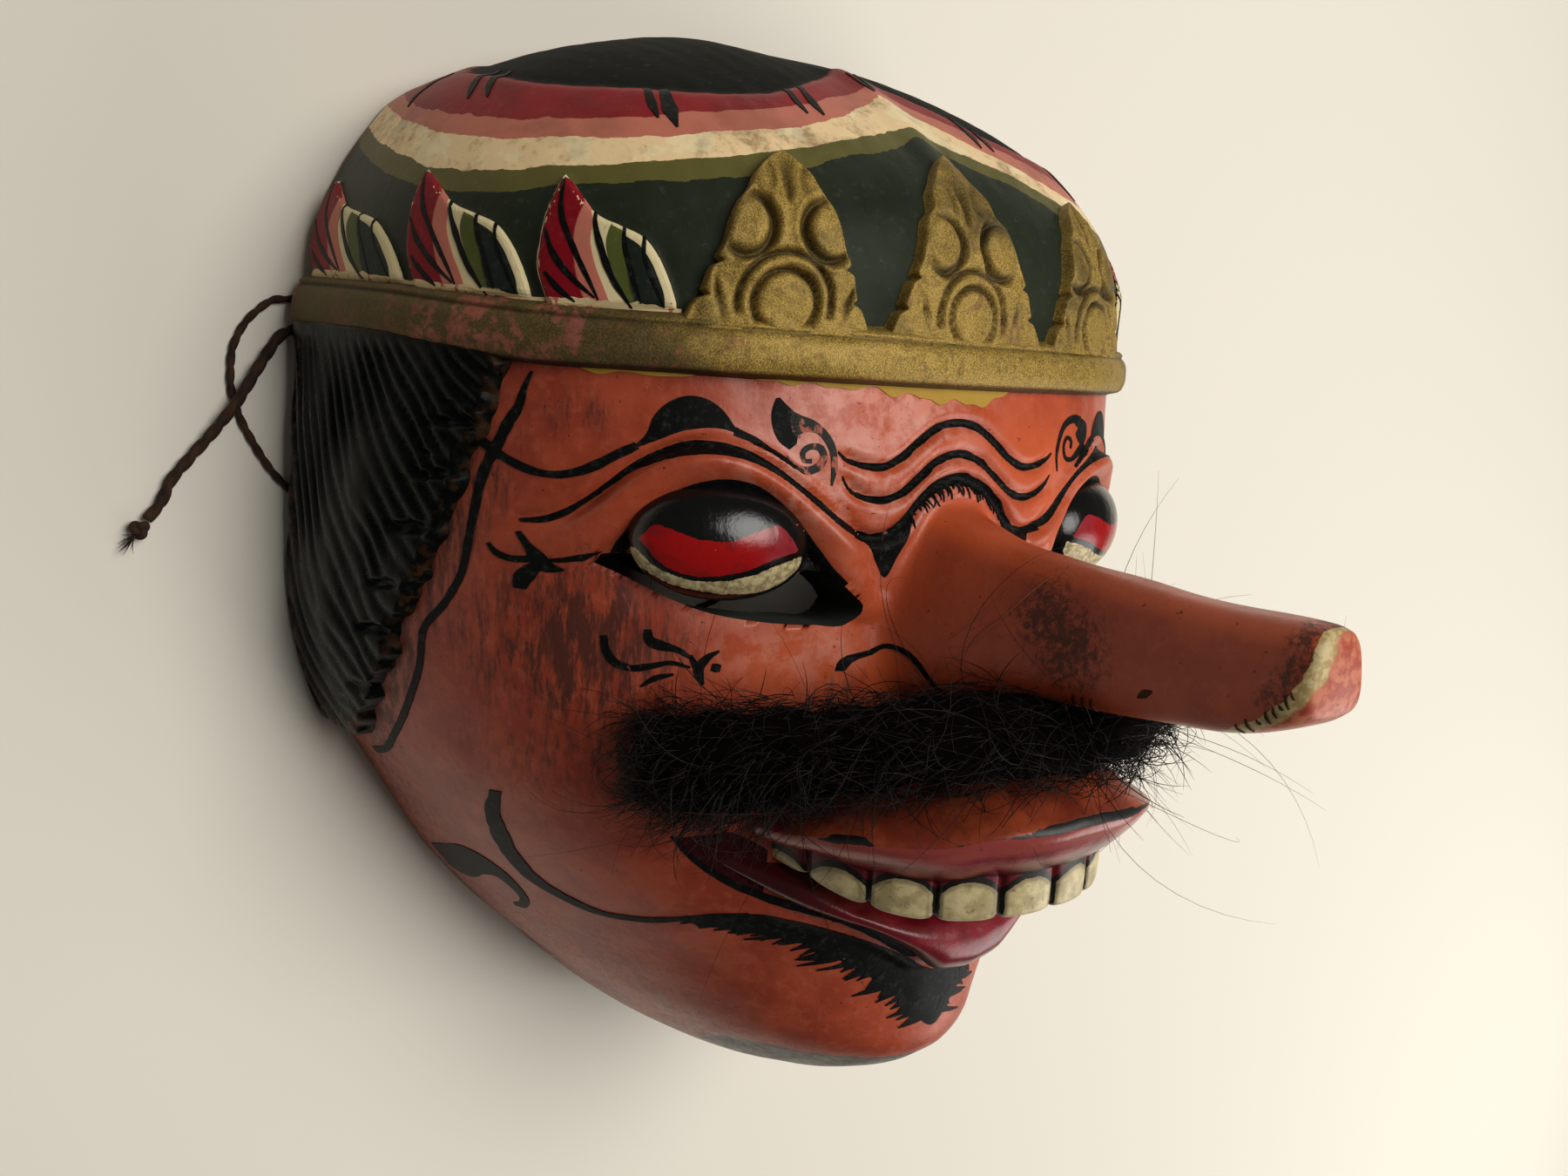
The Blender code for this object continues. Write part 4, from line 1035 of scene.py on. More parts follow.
def makeNose():
    # evenly spaced round the outline, then a fillet, the beam and a rounded end
    dense = np.linspace(0, 2 * math.pi, 2001)
    ring = noseSection(dense, np.full(2001, 96.0))
    length = runLength(ring)
    turn = np.interp(np.linspace(0, length[-1], 145)[:-1], length, dense)
    wall = noseSection(turn, np.full(turn.shape, 76.0))
    for _ in range(5):
        foot = faceHeight(wall[:, 0], wall[:, 1])
        wall = noseSection(turn, foot)
    outward = unit(wall[:, :2] - np.array([0, 2.0]))
    radius = smoothCurve(nose["fillet"], np.degrees(np.arcsin(np.sin(turn))))[:, None]
    touch = wall[:, :2] + outward * radius
    contact = np.column_stack([touch, faceHeight(touch[:, 0], touch[:, 1]) - 0.04])
    corner = np.column_stack([wall[:, :2], foot])
    raised = noseSection(turn, foot + radius[:, 0])
    t = np.linspace(0, 1, 12)[:, None, None]
    fillet = (1 - t)**2 * contact + 2 * t * (1 - t) * corner + t * t * raised
    s = np.linspace(0, 1, 104)[1:, None]
    z = (foot + radius[:, 0]) * (1 - s) + 144.0 * s
    body = noseSection(np.broadcast_to(turn, z.shape), z)
    body[..., 0] += 0.14 * wobble(body[..., 2], body[..., 1], 18, 51) * ramp(80, 90, z)
    body[..., 1] += 0.14 * wobble(body[..., 2], body[..., 0], 18, 52) * ramp(80, 90, z)
    last = body[-1]
    cap = []
    for k in np.linspace(0, 1, 16)[1:]:
        ringCap = last * (1 - k) + last.mean(0) * k
        ringCap[:, 2] = 144.0 + 1.1 * math.sqrt(1 - (1 - k)**2)
        cap.append(ringCap)
    points = np.concatenate([fillet, body, np.array(cap)])
    x, y, z = points[..., 0], points[..., 1], points[..., 2]
    past = z - smoothCurve(nose["tipLine"], y)
    stain = (0.85 * np.exp(-((z - 111) / 6)**2 - ((y - 1) / 6)**2)
             + 0.7 * np.exp(-((z - 104) / 5)**2 - ((y - 6) / 5)**2))
    grime_and_shade = 0.02 + stain + 0.65 * ramp(-5, -1, past) * ramp(-2, 3, y) + 0.06 * ramp(90, 110, z)
    ridge = smoothCurve([row[:2] for row in nose["stations"]], z) - 1.5
    # brighter towards the root and low on the flank; the strip along the top edge of the flank is a painted
    # highlight
    rub_and_highlight = 0.35 * ramp(106, 84, z) + 0.5 * np.exp(-((y - ridge) / 1.2)**2) + 0.3 * ramp(-2, -8, y) + 0.15
    faces = gridFaces(*points.shape[:2], wrap=True)
    addMesh("nose", points, faces, fleshPaint,
            {"grime_and_shade": np.clip(grime_and_shade, 0, 1), "rub_and_highlight": np.clip(rub_and_highlight, 0, 1), "chalk_and_highlight": 0 * x,
             "tip": np.clip(past, -20, 8) * ramp(100, 120, z) + 0.4 * np.clip(x + 5.5, 0, 12)
             * ramp(142.6, 144.6, z)})
    return points.reshape(-1, 3), faces


mouth = {
    # arcs seen from below: (half-width, z at the corners, z in front)
    "upperArc": (33.5, 74.0, 114.0), "teethArc": (29.0, 74.0, 106.0), "lowerArc": (32.0, 69.5, 92.0),
    "edge": [(0, -22.9), (25, -24.1), (45, -26.6), (60, -27.6), (70, -28.3), (80, -29.3), (90, -30.2)],
    "teethTop": [(0, -33.0), (57, -33.6), (75, -34.0), (90, -34.2)],
    "teethLow": [(0, -39.3), (40, -39.9), (57, -39.1), (75, -37.0), (90, -35.9)],
    "lowerTop": [(0, -46.4), (22, -45.0), (39, -42.3), (61, -38.0), (90, -36.4)],
    "lowerLow": [(0, -53.4), (5, -53.1), (10, -52.7), (15, -51.1), (20, -49.3), (29, -46.6), (37, -44.8),
                 (45, -43.7), (53, -42.7), (61, -41.8), (69, -40.9), (80, -39.9), (90, -39.2)],
    "lowerCorner": (40.2, -33.9),
    "toothStep": 18.6,
    # black left along the upper lip's edge: (degrees, width)
    "edgeInk": [(-86, 0.0), (-69, 0.0), (-64, 1.3), (-58, 1.1), (-54, 0.0), (-40, 0.1), (-27, 0.15),
                (-22, 0.6), (-14, 1.25), (4, 1.2), (20, 0.7), (28, 0.1), (44, 0.0), (52, 1.2), (66, 1.3),
                (74, 0.1), (86, 0.0)],
}


def alongArc(arc, degrees, inwards):
    # a point on an arc seen from below, moved inwards
    half, corner, front = arc
    t = np.radians(degrees)
    return (half - inwards) * np.sin(t), corner + (front - corner - inwards) * np.cos(t)


def makeUpperLip():
    degrees = np.linspace(-86, 86, 190)
    edge = smoothCurve(mouth["edge"], np.abs(degrees))
    fade = np.cos(np.radians(np.minimum(np.abs(degrees), 88)))**0.5
    stations = np.array([(26, 10.5, 0), (13, 8.0, 0), (5, 3.6, 0.2), (1.2, 0.9, 0.45), (0.15, 0.25, 0.15),
                         (0.0, 0, -0.25), (0.5, 0, -1.2), (3.4, -4.2, -1), (6.4, -7.0, -1), (7.5, -7.9, -1),
                         (26, -8.6, -1)])
    profile = splineThrough(stations, 66)
    inwards = profile[:, 0][:, None] + 0 * degrees
    length = runLength(profile)
    under = (length - length[profile[:, 0].argmin()])[:, None] + 0 * degrees
    up = profile[:, 1][:, None] * fade + profile[:, 2][:, None]
    up = up + 0.14 * wobble(degrees[None] * 0.6, profile[:, 0][:, None], 9, 61)
    x, z = alongArc(mouth["upperArc"], degrees, np.minimum(inwards, 30))
    points = np.stack([x, edge + up, z], -1)
    width = smoothCurve(mouth["edgeInk"], degrees)[None]
    ink = np.minimum(under + width, np.minimum(width, 0.3) - under) - 0.1
    addMesh("upper_lip", points, gridFaces(*x.shape)[:, ::-1], lipPaint, {"under": under, "ink": ink})


def makeTeeth():
    step = mouth["toothStep"]
    degrees = np.linspace(-88, 88, 420)
    fromGap = np.abs((degrees / step + 0.5) % 1 - 0.5) * step      # degrees from the nearest gap
    arcHalf, corner, front = mouth["teethArc"]
    t = np.radians(degrees)
    perDegree = np.hypot(arcHalf * np.cos(t), (front - corner) * np.sin(t)) * math.pi / 180
    top, low = (smoothCurve(mouth["teethTop"], np.abs(degrees)),
                smoothCurve(mouth["teethLow"], np.abs(degrees)))
    u = 1 - fromGap / (step / 2)                                    # 0 in a tooth's middle, 1 in the gap
    low = low + 0.8 * u**6
    bulge = 0.7 * (1 - u**3) - 0.6 * ramp(0.9, 0.0, fromGap * perDegree)
    v = np.linspace(0, 1, 30)[:, None]
    y = (top + 2) * (1 - v) + low * v
    roundOff = np.sqrt(np.clip(1 - np.clip((v - 0.86) / 0.14, 0, 1)**2, 0, 1))
    inwards = 0.5 - bulge * np.sin(math.pi * np.clip(v * 0.9 + 0.1, 0, 1))**0.5 + 2.2 * (1 - roundOff)
    x, z = alongArc(mouth["teethArc"], degrees, inwards)
    frontFace = np.stack([x, y + 0 * x, z], -1)
    xb, zb = alongArc(mouth["teethArc"], degrees, 12 + 0 * inwards[-1:])
    points = np.concatenate([frontFace, np.stack([xb, y[-1:] + 0 * xb, zb], -1)])
    gumLine = top + 0.1 - 2.6 * u**2.3
    above = points[..., 1] - gumLine
    gap = fromGap * perDegree - 0.5 - 0.15 * np.sin(degrees * 1.7)
    line = np.minimum(gap + 0 * above, -above - 0.05)
    addMesh("teeth", points, gridFaces(*points.shape[:2])[:, ::-1], toothPaint,
            {"line": line, "gum": above - 0.95})


def makeLowerLip():
    # a roll along its arc whose ends draw out to a point in the mouth's corners
    degrees = np.linspace(-88, 88, 190)
    top, low = (smoothCurve(mouth["lowerTop"], np.abs(degrees)),
                smoothCurve(mouth["lowerLow"], np.abs(degrees)))
    middle, half = (top + low) / 2, (top - low) / 2 + 0.6
    stations = np.array([(12, 1.1), (5, 1.15), (1.6, 0.8), (0, 0.1), (0.2, -0.5), (2.2, -1.1), (12, -1.3)])
    profile = splineThrough(stations * (1, 4), 40) / (1, 4)
    x, z = alongArc(mouth["lowerArc"], degrees, profile[:, 0][:, None] + 0 * degrees)
    points = np.stack([x, middle + profile[:, 1][:, None] * half, z], -1)
    drawn = (ramp(60, 88, np.abs(degrees)) ** 1.5)[None, :, None]
    cornerX, cornerY = mouth["lowerCorner"]
    cornerZ = faceHeight(np.array([cornerX]), np.array([cornerY]))[0] + 0.3
    corner = np.stack([np.sign(degrees) * cornerX, cornerY + 0 * degrees, cornerZ + 0 * degrees], -1)[None]
    points = points * (1 - drawn) + corner * drawn
    below = profile[:, 1][:, None] + 0 * degrees
    # the crimson darkens towards the corners: painted shade under the teeth
    addMesh("lower_lip", points, gridFaces(*x.shape)[:, ::-1], lipPaint,
            {"under": 6.0 + 5.5 * ramp(24, 66, np.abs(degrees)) + 0 * x,
             "ink": np.where(below < -1.08, 1.0, -1.0)})


# lines across the eyeball, (mm towards the nose from its middle, mm up)
eyeLines = {
    "redTop": [(-12.4, 0.6), (-10.8, 2.6), (-8.7, 1.9), (-5.9, 0.9), (-3.0, 0.7), (-0.7, 1.3), (2.4, 2.4),
               (4.9, 2.9), (7.0, 1.4), (8.6, -0.8)],
    "redLow": [(-12.4, 0.5), (-10.4, -2.4), (-8.4, -3.7), (-5.4, -4.4), (-2.7, -4.1), (0.8, -3.2),
               (4.4, -1.8), (8.6, -0.9)],
    "creamTop": [(-12.6, -0.6), (-11.0, -2.8), (-8.8, -4.2), (-5.3, -5.1), (-2.2, -4.9), (1.1, -4.2),
                 (4.7, -2.8), (9.4, -1.6)],
    "creamLow": [(-12.6, -1.6), (-10.8, -4.0), (-7.9, -5.8), (-4.3, -6.7), (-1.1, -7.1), (2.6, -7.0),
                 (6.3, -6.0), (9.6, -3.6)],
}


def makeEye(side):
    # ellipsoid turned towards the cheek
    rows, columns = 60, 104
    lat = np.linspace(-math.pi / 2, math.pi / 2, rows)[:, None]
    lon = np.linspace(0, 2 * math.pi, columns + 1)[None, :-1]
    ball = np.cos(lat) * np.cos(lon), np.cos(lat) * np.sin(lon), np.sin(lat)
    ball = np.stack(np.broadcast_arrays(*ball), -1)
    roll = Matrix.Rotation(math.radians(side * eye["roll"]), 3, "Z")
    turn = Matrix.Rotation(math.radians(side * eye["turn"]), 3, "Y")
    surface = shellPoint(np.array(side * 0.47), np.array(eye["centre"][1]))
    centre = np.array([side * eye["centre"][0], eye["centre"][1], surface[2] - eye["radii"][2]
                       + eye["proud"]])
    away = (ball * np.array(eye["radii"])) @ np.array(roll @ turn).T
    across, up = -side * away[..., 0], away[..., 1]
    lines = {key: smoothCurve(line, across) for key, line in eyeLines.items()}
    red = np.minimum.reduce([lines["redTop"] - up, up - lines["redLow"], across + 12.4, 8.6 - across])
    cream = np.minimum.reduce([lines["creamTop"] - up, up - lines["creamLow"], across + 12.6, 9.6 - across])
    addMesh("eyeball_right" if side > 0 else "eyeball_left", away + centre,
            gridFaces(rows, columns, wrap=True), eyePaint,
            {"red": red, "cream": cream, "redSide": ramp(0, 7, across)})


def brushStroke(points, widths, seed=1, shake=0.1):
    # the two edges of a stroke through the points, its width in mm given at shares of its length
    length = np.linalg.norm(np.diff(np.array(points, float), axis=0), axis=1).sum()
    line = splineThrough(points, max(8, int(length / 0.55) + 2))
    way = np.gradient(line, axis=0)
    out = np.stack([-way[:, 1], way[:, 0]], -1) / np.linalg.norm(way, axis=1)[:, None]
    half = np.interp(np.linspace(0, 1, len(line)), *np.array(widths, float).T) / 2
    half = half * (1 + shake * wobble(line[:, 0], line[:, 1], 2.6, seed)) + 0.02
    return line + out * half[:, None], line - out * half[:, None]


def roundStroke(line, widths, seed, shake=0.1, perDegree=1.3):
    # a stroke through places (degrees, y), drawn in mm
    edges = brushStroke(np.array(line) * (perDegree, 1), widths, seed, shake)
    return [edge * (1 / perDegree, 1) for edge in edges]


def patch(edgeA, edgeB, count=0):
    # a filled shape between two lines that run the same way
    length = max(np.linalg.norm(np.diff(np.array(e, float), axis=0), axis=1).sum() for e in (edgeA, edgeB))
    count = count or max(6, int(length / 0.6) + 2)
    return splineThrough(edgeA, count), splineThrough(edgeB, count)


def frontRays(places):
    # from in front of the mask straight back; also where the bare shell lies
    starts = np.concatenate([places, np.full(places.shape[:-1] + (1,), 160.0)], -1)
    return (starts, np.broadcast_to(np.array([0, 0, -1.0]), starts.shape),
            shellPoint(*frontPlace(places[..., 0], places[..., 1])))


def roundRays(places):
    # places are (degrees, y): from outside the shell straight in
    angle, y = np.radians(places[..., 0]), places[..., 1]
    normal = shellNormal(angle, y)
    return shellPoint(angle, y) + normal * 14, -normal, shellPoint(angle, y)


def sideRays(side):
    # places are (z, y) on the nose's flank
    def rays(places):
        starts = np.stack([np.full(places.shape[:-1], side * 40.0), places[..., 1], places[..., 0]], -1)
        return starts, np.broadcast_to(np.array([-side, 0, 0.0]), starts.shape), starts * (0.2, 1, 1)
    return rays


def layMarks(name, surface, marks, lift=0.13):
    # each mark (edges, rays, colour, wear, height) is a thin skin on the surface, tucked into it all round
    points, faces = surface
    tree = BVHTree.FromPolygons(points.tolist(), [f if f[2] != f[3] else f[:3] for f in faces.tolist()])
    allPoints, allFaces, pigments, wears, total = [], [], [], [], 0
    for (edgeA, edgeB), rays, colour, wear, layer in marks:
        width = np.linalg.norm(edgeA - edgeB, axis=1).max()
        across = np.linspace(0, 1, max(3, min(60, int(width / 0.36) + 2)))
        grid = edgeA[:, None] * (1 - across[None, :, None]) + edgeB[:, None] * across[None, :, None]
        grid = np.pad(grid, ((1, 1), (1, 1), (0, 0)), mode="edge")
        rise = np.full(grid.shape[:2], lift + 0.03 * layer)
        rise[0] = rise[-1] = rise[:, 0] = rise[:, -1] = -0.15
        starts, ways, landed = rays(grid)
        flatStarts, flatWays, flatLanded = (starts.reshape(-1, 3), ways.reshape(-1, 3),
                                            landed.reshape(-1, 3).copy())
        for i, (start, way,
                up) in enumerate(zip(flatStarts.tolist(), flatWays.tolist(), rise.ravel().tolist())):
            hit, normal, _, _ = tree.ray_cast(start, way)
            if hit is None:
                hit, normal, _, _ = tree.find_nearest(flatLanded[i].tolist())
            flatLanded[i] = hit + normal * up
        landed = flatLanded.reshape(landed.shape)
        quads = gridFaces(*grid.shape[:2])
        middle = landed[1:-1, 1:-1]
        facing = np.cross(middle[1:, :-1] - middle[:-1, :-1], middle[:-1, 1:] - middle[:-1, :-1])
        if (facing * ways[1:-2, 1:-2]).sum() < 0:
            quads = quads[:, ::-1]
        allPoints.append(landed.reshape(-1, 3))
        allFaces.append(quads + total)
        pigments.append(np.broadcast_to(linear(colour)[:3], (rise.size, 3)))
        wears.append(np.full(rise.size, wear))
        total += rise.size
    addMesh(name, np.vstack(allPoints), np.vstack(allFaces), brushPaint,
            {"pigment": np.vstack(pigments), "wear": np.concatenate(wears)}, flat=True)


black, grey, dullGold = "#0B0D0D", "#30302E", "#A88638"
browMarks = {
    "main": ([(61.3, 13.8), (58.9, 14.5), (56.9, 15.7), (54.9, 17.3), (52.5, 19.8), (49.7, 22.6),
              (46.7, 24.6), (43.6, 26.0), (40.6, 26.2), (37.3, 25.5), (33.4, 23.6), (29.3, 21.0),
              (25.5, 18.4), (22.3, 15.9), (18.2, 13.5)],
             [(61.2, 13.3), (58.9, 13.5), (56.8, 14.6), (54.6, 16.5), (52.1, 19.1), (49.35, 21.9),
              (46.5, 23.6), (43.3, 24.4), (40.2, 24.4), (36.7, 23.7), (32.4, 21.9), (28.4, 19.3),
              (24.8, 16.5), (21.5, 14.0), (17.4, 12.3)]),
    "hump": ([(50.2, 24.9), (48.5, 26.8), (47.6, 29.3), (46.0, 31.2), (44.0, 32.2), (41.9, 32.1),
              (39.7, 30.9), (38.2, 29.0), (37.3, 27.2)],
             [(50.0, 24.7), (48.6, 25.4), (47.2, 26.1), (44.8, 27.3), (42.1, 27.9), (40.4, 28.0),
              (39.4, 27.9), (38.2, 27.6), (37.1, 27.0)]),
    # round the eyeball, and on from the slit's outer corner
    "ring": ([(51.6, 9.8), (50.4, 13.0), (48.1, 16.5), (44.5, 19.5), (40.0, 21.0), (35.6, 20.5),
              (31.3, 18.0), (27.8, 14.6), (25.0, 11.0), (22.9, 8.2), (20.6, 6.2)],
             [(50.0, 9.6), (48.0, 12.2), (45.5, 14.8), (43.0, 17.0), (40.0, 18.2), (36.0, 17.8),
              (32.6, 15.6), (30.2, 11.8), (28.2, 8.4), (25.6, 6.5), (21.2, 5.4)]),
    "corner": ([(59.2, 8.3), (57.2, 8.7), (55.4, 9.3), (52.6, 9.9)],
               [(59.1, 8.1), (57.2, 8.0), (56.0, 8.2), (54.6, 8.4)]),
    "triangle": ([(20.6, 14.4), (18.4, 13.5), (16.2, 13.0), (13.8, 13.2), (11.6, 14.3), (9.0, 16.2)],
                 [(20.5, 14.2), (17.4, 12.0), (15.0, 8.8), (13.3, 6.6), (11.7, 9.6), (8.9, 15.8)]),
}
browStrokes = [
    # points, widths
    ([(22.8, 25.3), (21.6, 24.3), (20.0, 23.7), (17.5, 23.2), (14.6, 23.2), (11.6, 24.5), (8.0, 27.0),
      (4.2, 29.2), (0, 29.9)], [(0, 0.2), (0.12, 0.8), (0.35, 1.3), (1, 1.25)]),
    ([(22.0, 21.8), (21.0, 20.2), (19.4, 19.1), (17.4, 18.5), (14.6, 18.3), (11.8, 19.1), (8.1, 21.6),
      (4.2, 24.2), (0, 25.2)], [(0, 0.15), (0.14, 0.7), (0.35, 1.25), (1, 1.25)]),
    ([(19.5, 13.4), (16.0, 12.6), (13.0, 13.2), (10.8, 14.8), (8.5, 17.5), (4.8, 20.1), (0, 21.4)],
     [(0, 1.2), (0.4, 1.7), (1, 1.9)]),
    ([(66.2, 27.2), (65.6, 25.8), (64.8, 24.4), (63.6, 22.9), (62.1, 21.7), (60.3, 20.7), (58.0, 20.4),
      (55.9, 21.0), (53.9, 22.2), (51.9, 23.7), (49.7, 25.1)], [(0, 0.7), (0.2, 1.0), (0.6, 1.1), (1, 1.0)]),
    ([(37.9, 27.7), (35.7, 26.7), (33.9, 25.6), (31.8, 24.3), (29.8, 22.9)],
     [(0, 1.1), (0.5, 0.8), (1, 0.3)]),
    # the fleur behind the eye's corner
    ([(61.5, 12.0), (60.8, 10.5), (59.6, 8.6), (58.4, 7.2), (56.6, 6.9)],
     [(0, 0.5), (0.3, 0.9), (0.7, 1.9), (1, 0.2)]),
    ([(58.9, 7.9), (60.0, 6.6), (60.7, 5.2), (60.9, 3.7)], [(0, 1.0), (0.6, 2.2), (1, 1.2)]),
    ([(64.2, 9.9), (63.4, 8.6), (62.2, 8.0), (60.0, 8.2)], [(0, 0.3), (0.4, 0.8), (1, 1.0)]),
    # curls of the cheek
    ([(51.9, -2.2), (51.6, -4.2), (50.6, -6.0), (48.6, -6.8), (46.4, -6.4), (44.1, -5.8), (41.5, -6.4)],
     [(0, 0.8), (0.3, 1.0), (0.6, 0.9), (1, 0.3)]),
    ([(46.9, -1.0), (46.6, -2.6), (45.2, -3.3), (43.3, -3.8), (41.3, -5.1)],
     [(0, 0.7), (0.3, 1.5), (0.6, 0.9), (1, 0.3)]),
    ([(47.4, -9.5), (45.8, -8.2), (43.5, -7.5)], [(0, 0.2), (0.5, 0.9), (1, 0.3)]),
    ([(37.9, -3.9), (39.4, -4.9), (40.4, -6.5), (39.8, -9.0)], [(0, 0.3), (0.4, 1.3), (0.7, 1.2), (1, 0.4)]),
    ([(41.6, -4.6), (40.6, -6.6)], [(0, 0.4), (1, 1.0)]),
    ([(38.8, -6.3), (37.6, -6.5)], [(0, 1.0), (0.5, 1.3), (1, 0.9)]),
    # along the jaw to the beard
    ([(59.6, -29.8), (58.6, -34.1), (56.5, -38.8), (53.4, -44.1), (50.1, -48.0), (47.3, -49.7),
      (44.2, -50.7), (41.0, -50.0), (37.7, -48.3), (34.1, -46.6), (30.5, -45.9)],
     [(0, 0.9), (0.2, 1.3), (0.6, 1.2), (1, 0.9)]),
]
beardTop = [(36.5, -47.5), (33.0, -46.2), (29.9, -45.6), (24.8, -46.3), (19.1, -48.2), (12.8, -50.9),
            (6.0, -54.6), (2.2, -57.0), (0, -57.8)]
beardLow = [(36.5, -47.9), (33.5, -47.6), (30.3, -48.4), (26.1, -49.3), (22.0, -51.0), (17.0, -53.9),
            (11.0, -58.0), (5.2, -63.2), (0, -67.6)]


def browHairs():
    # short brush ticks hanging from the middle arch, and the ragged lower edge of the beard
    random = np.random.default_rng(5)
    strokes = []
    for x in np.linspace(-9.5, 12.5, 34):
        y = 21.2 - 0.05 * x * x
        reach = random.uniform(1.2, 3.0)
        strokes.append(([(x, y), (x + random.uniform(-0.3, 0.5), y - reach / 2),
                         (x + random.uniform(0.0, 0.9), y - reach)],
                        [(0, random.uniform(0.4, 0.8)), (0.6, 0.35), (1, 0.1)]))
    for side in (-1, 1):
        for x in np.linspace(2.0, 35.0, 40):
            y = float(np.interp(x, *np.array(beardLow[::-1]).T))
            x = x + random.uniform(-0.6, 0.6)
            reach, fall = 0.8 + 4.2 * random.uniform(0, 1)**1.6, random.uniform(0.2, 1.1)
            strokes.append(([(side * (x - 1.6), y + 0.9), (side * (x + reach * 0.3), y - 0.35 * fall),
                             (side * (x + reach), y - fall - 0.5)],
                            [(0, 1.5), (0.5, random.uniform(0.7, 1.3)), (1, 0.15)]))
    return strokes


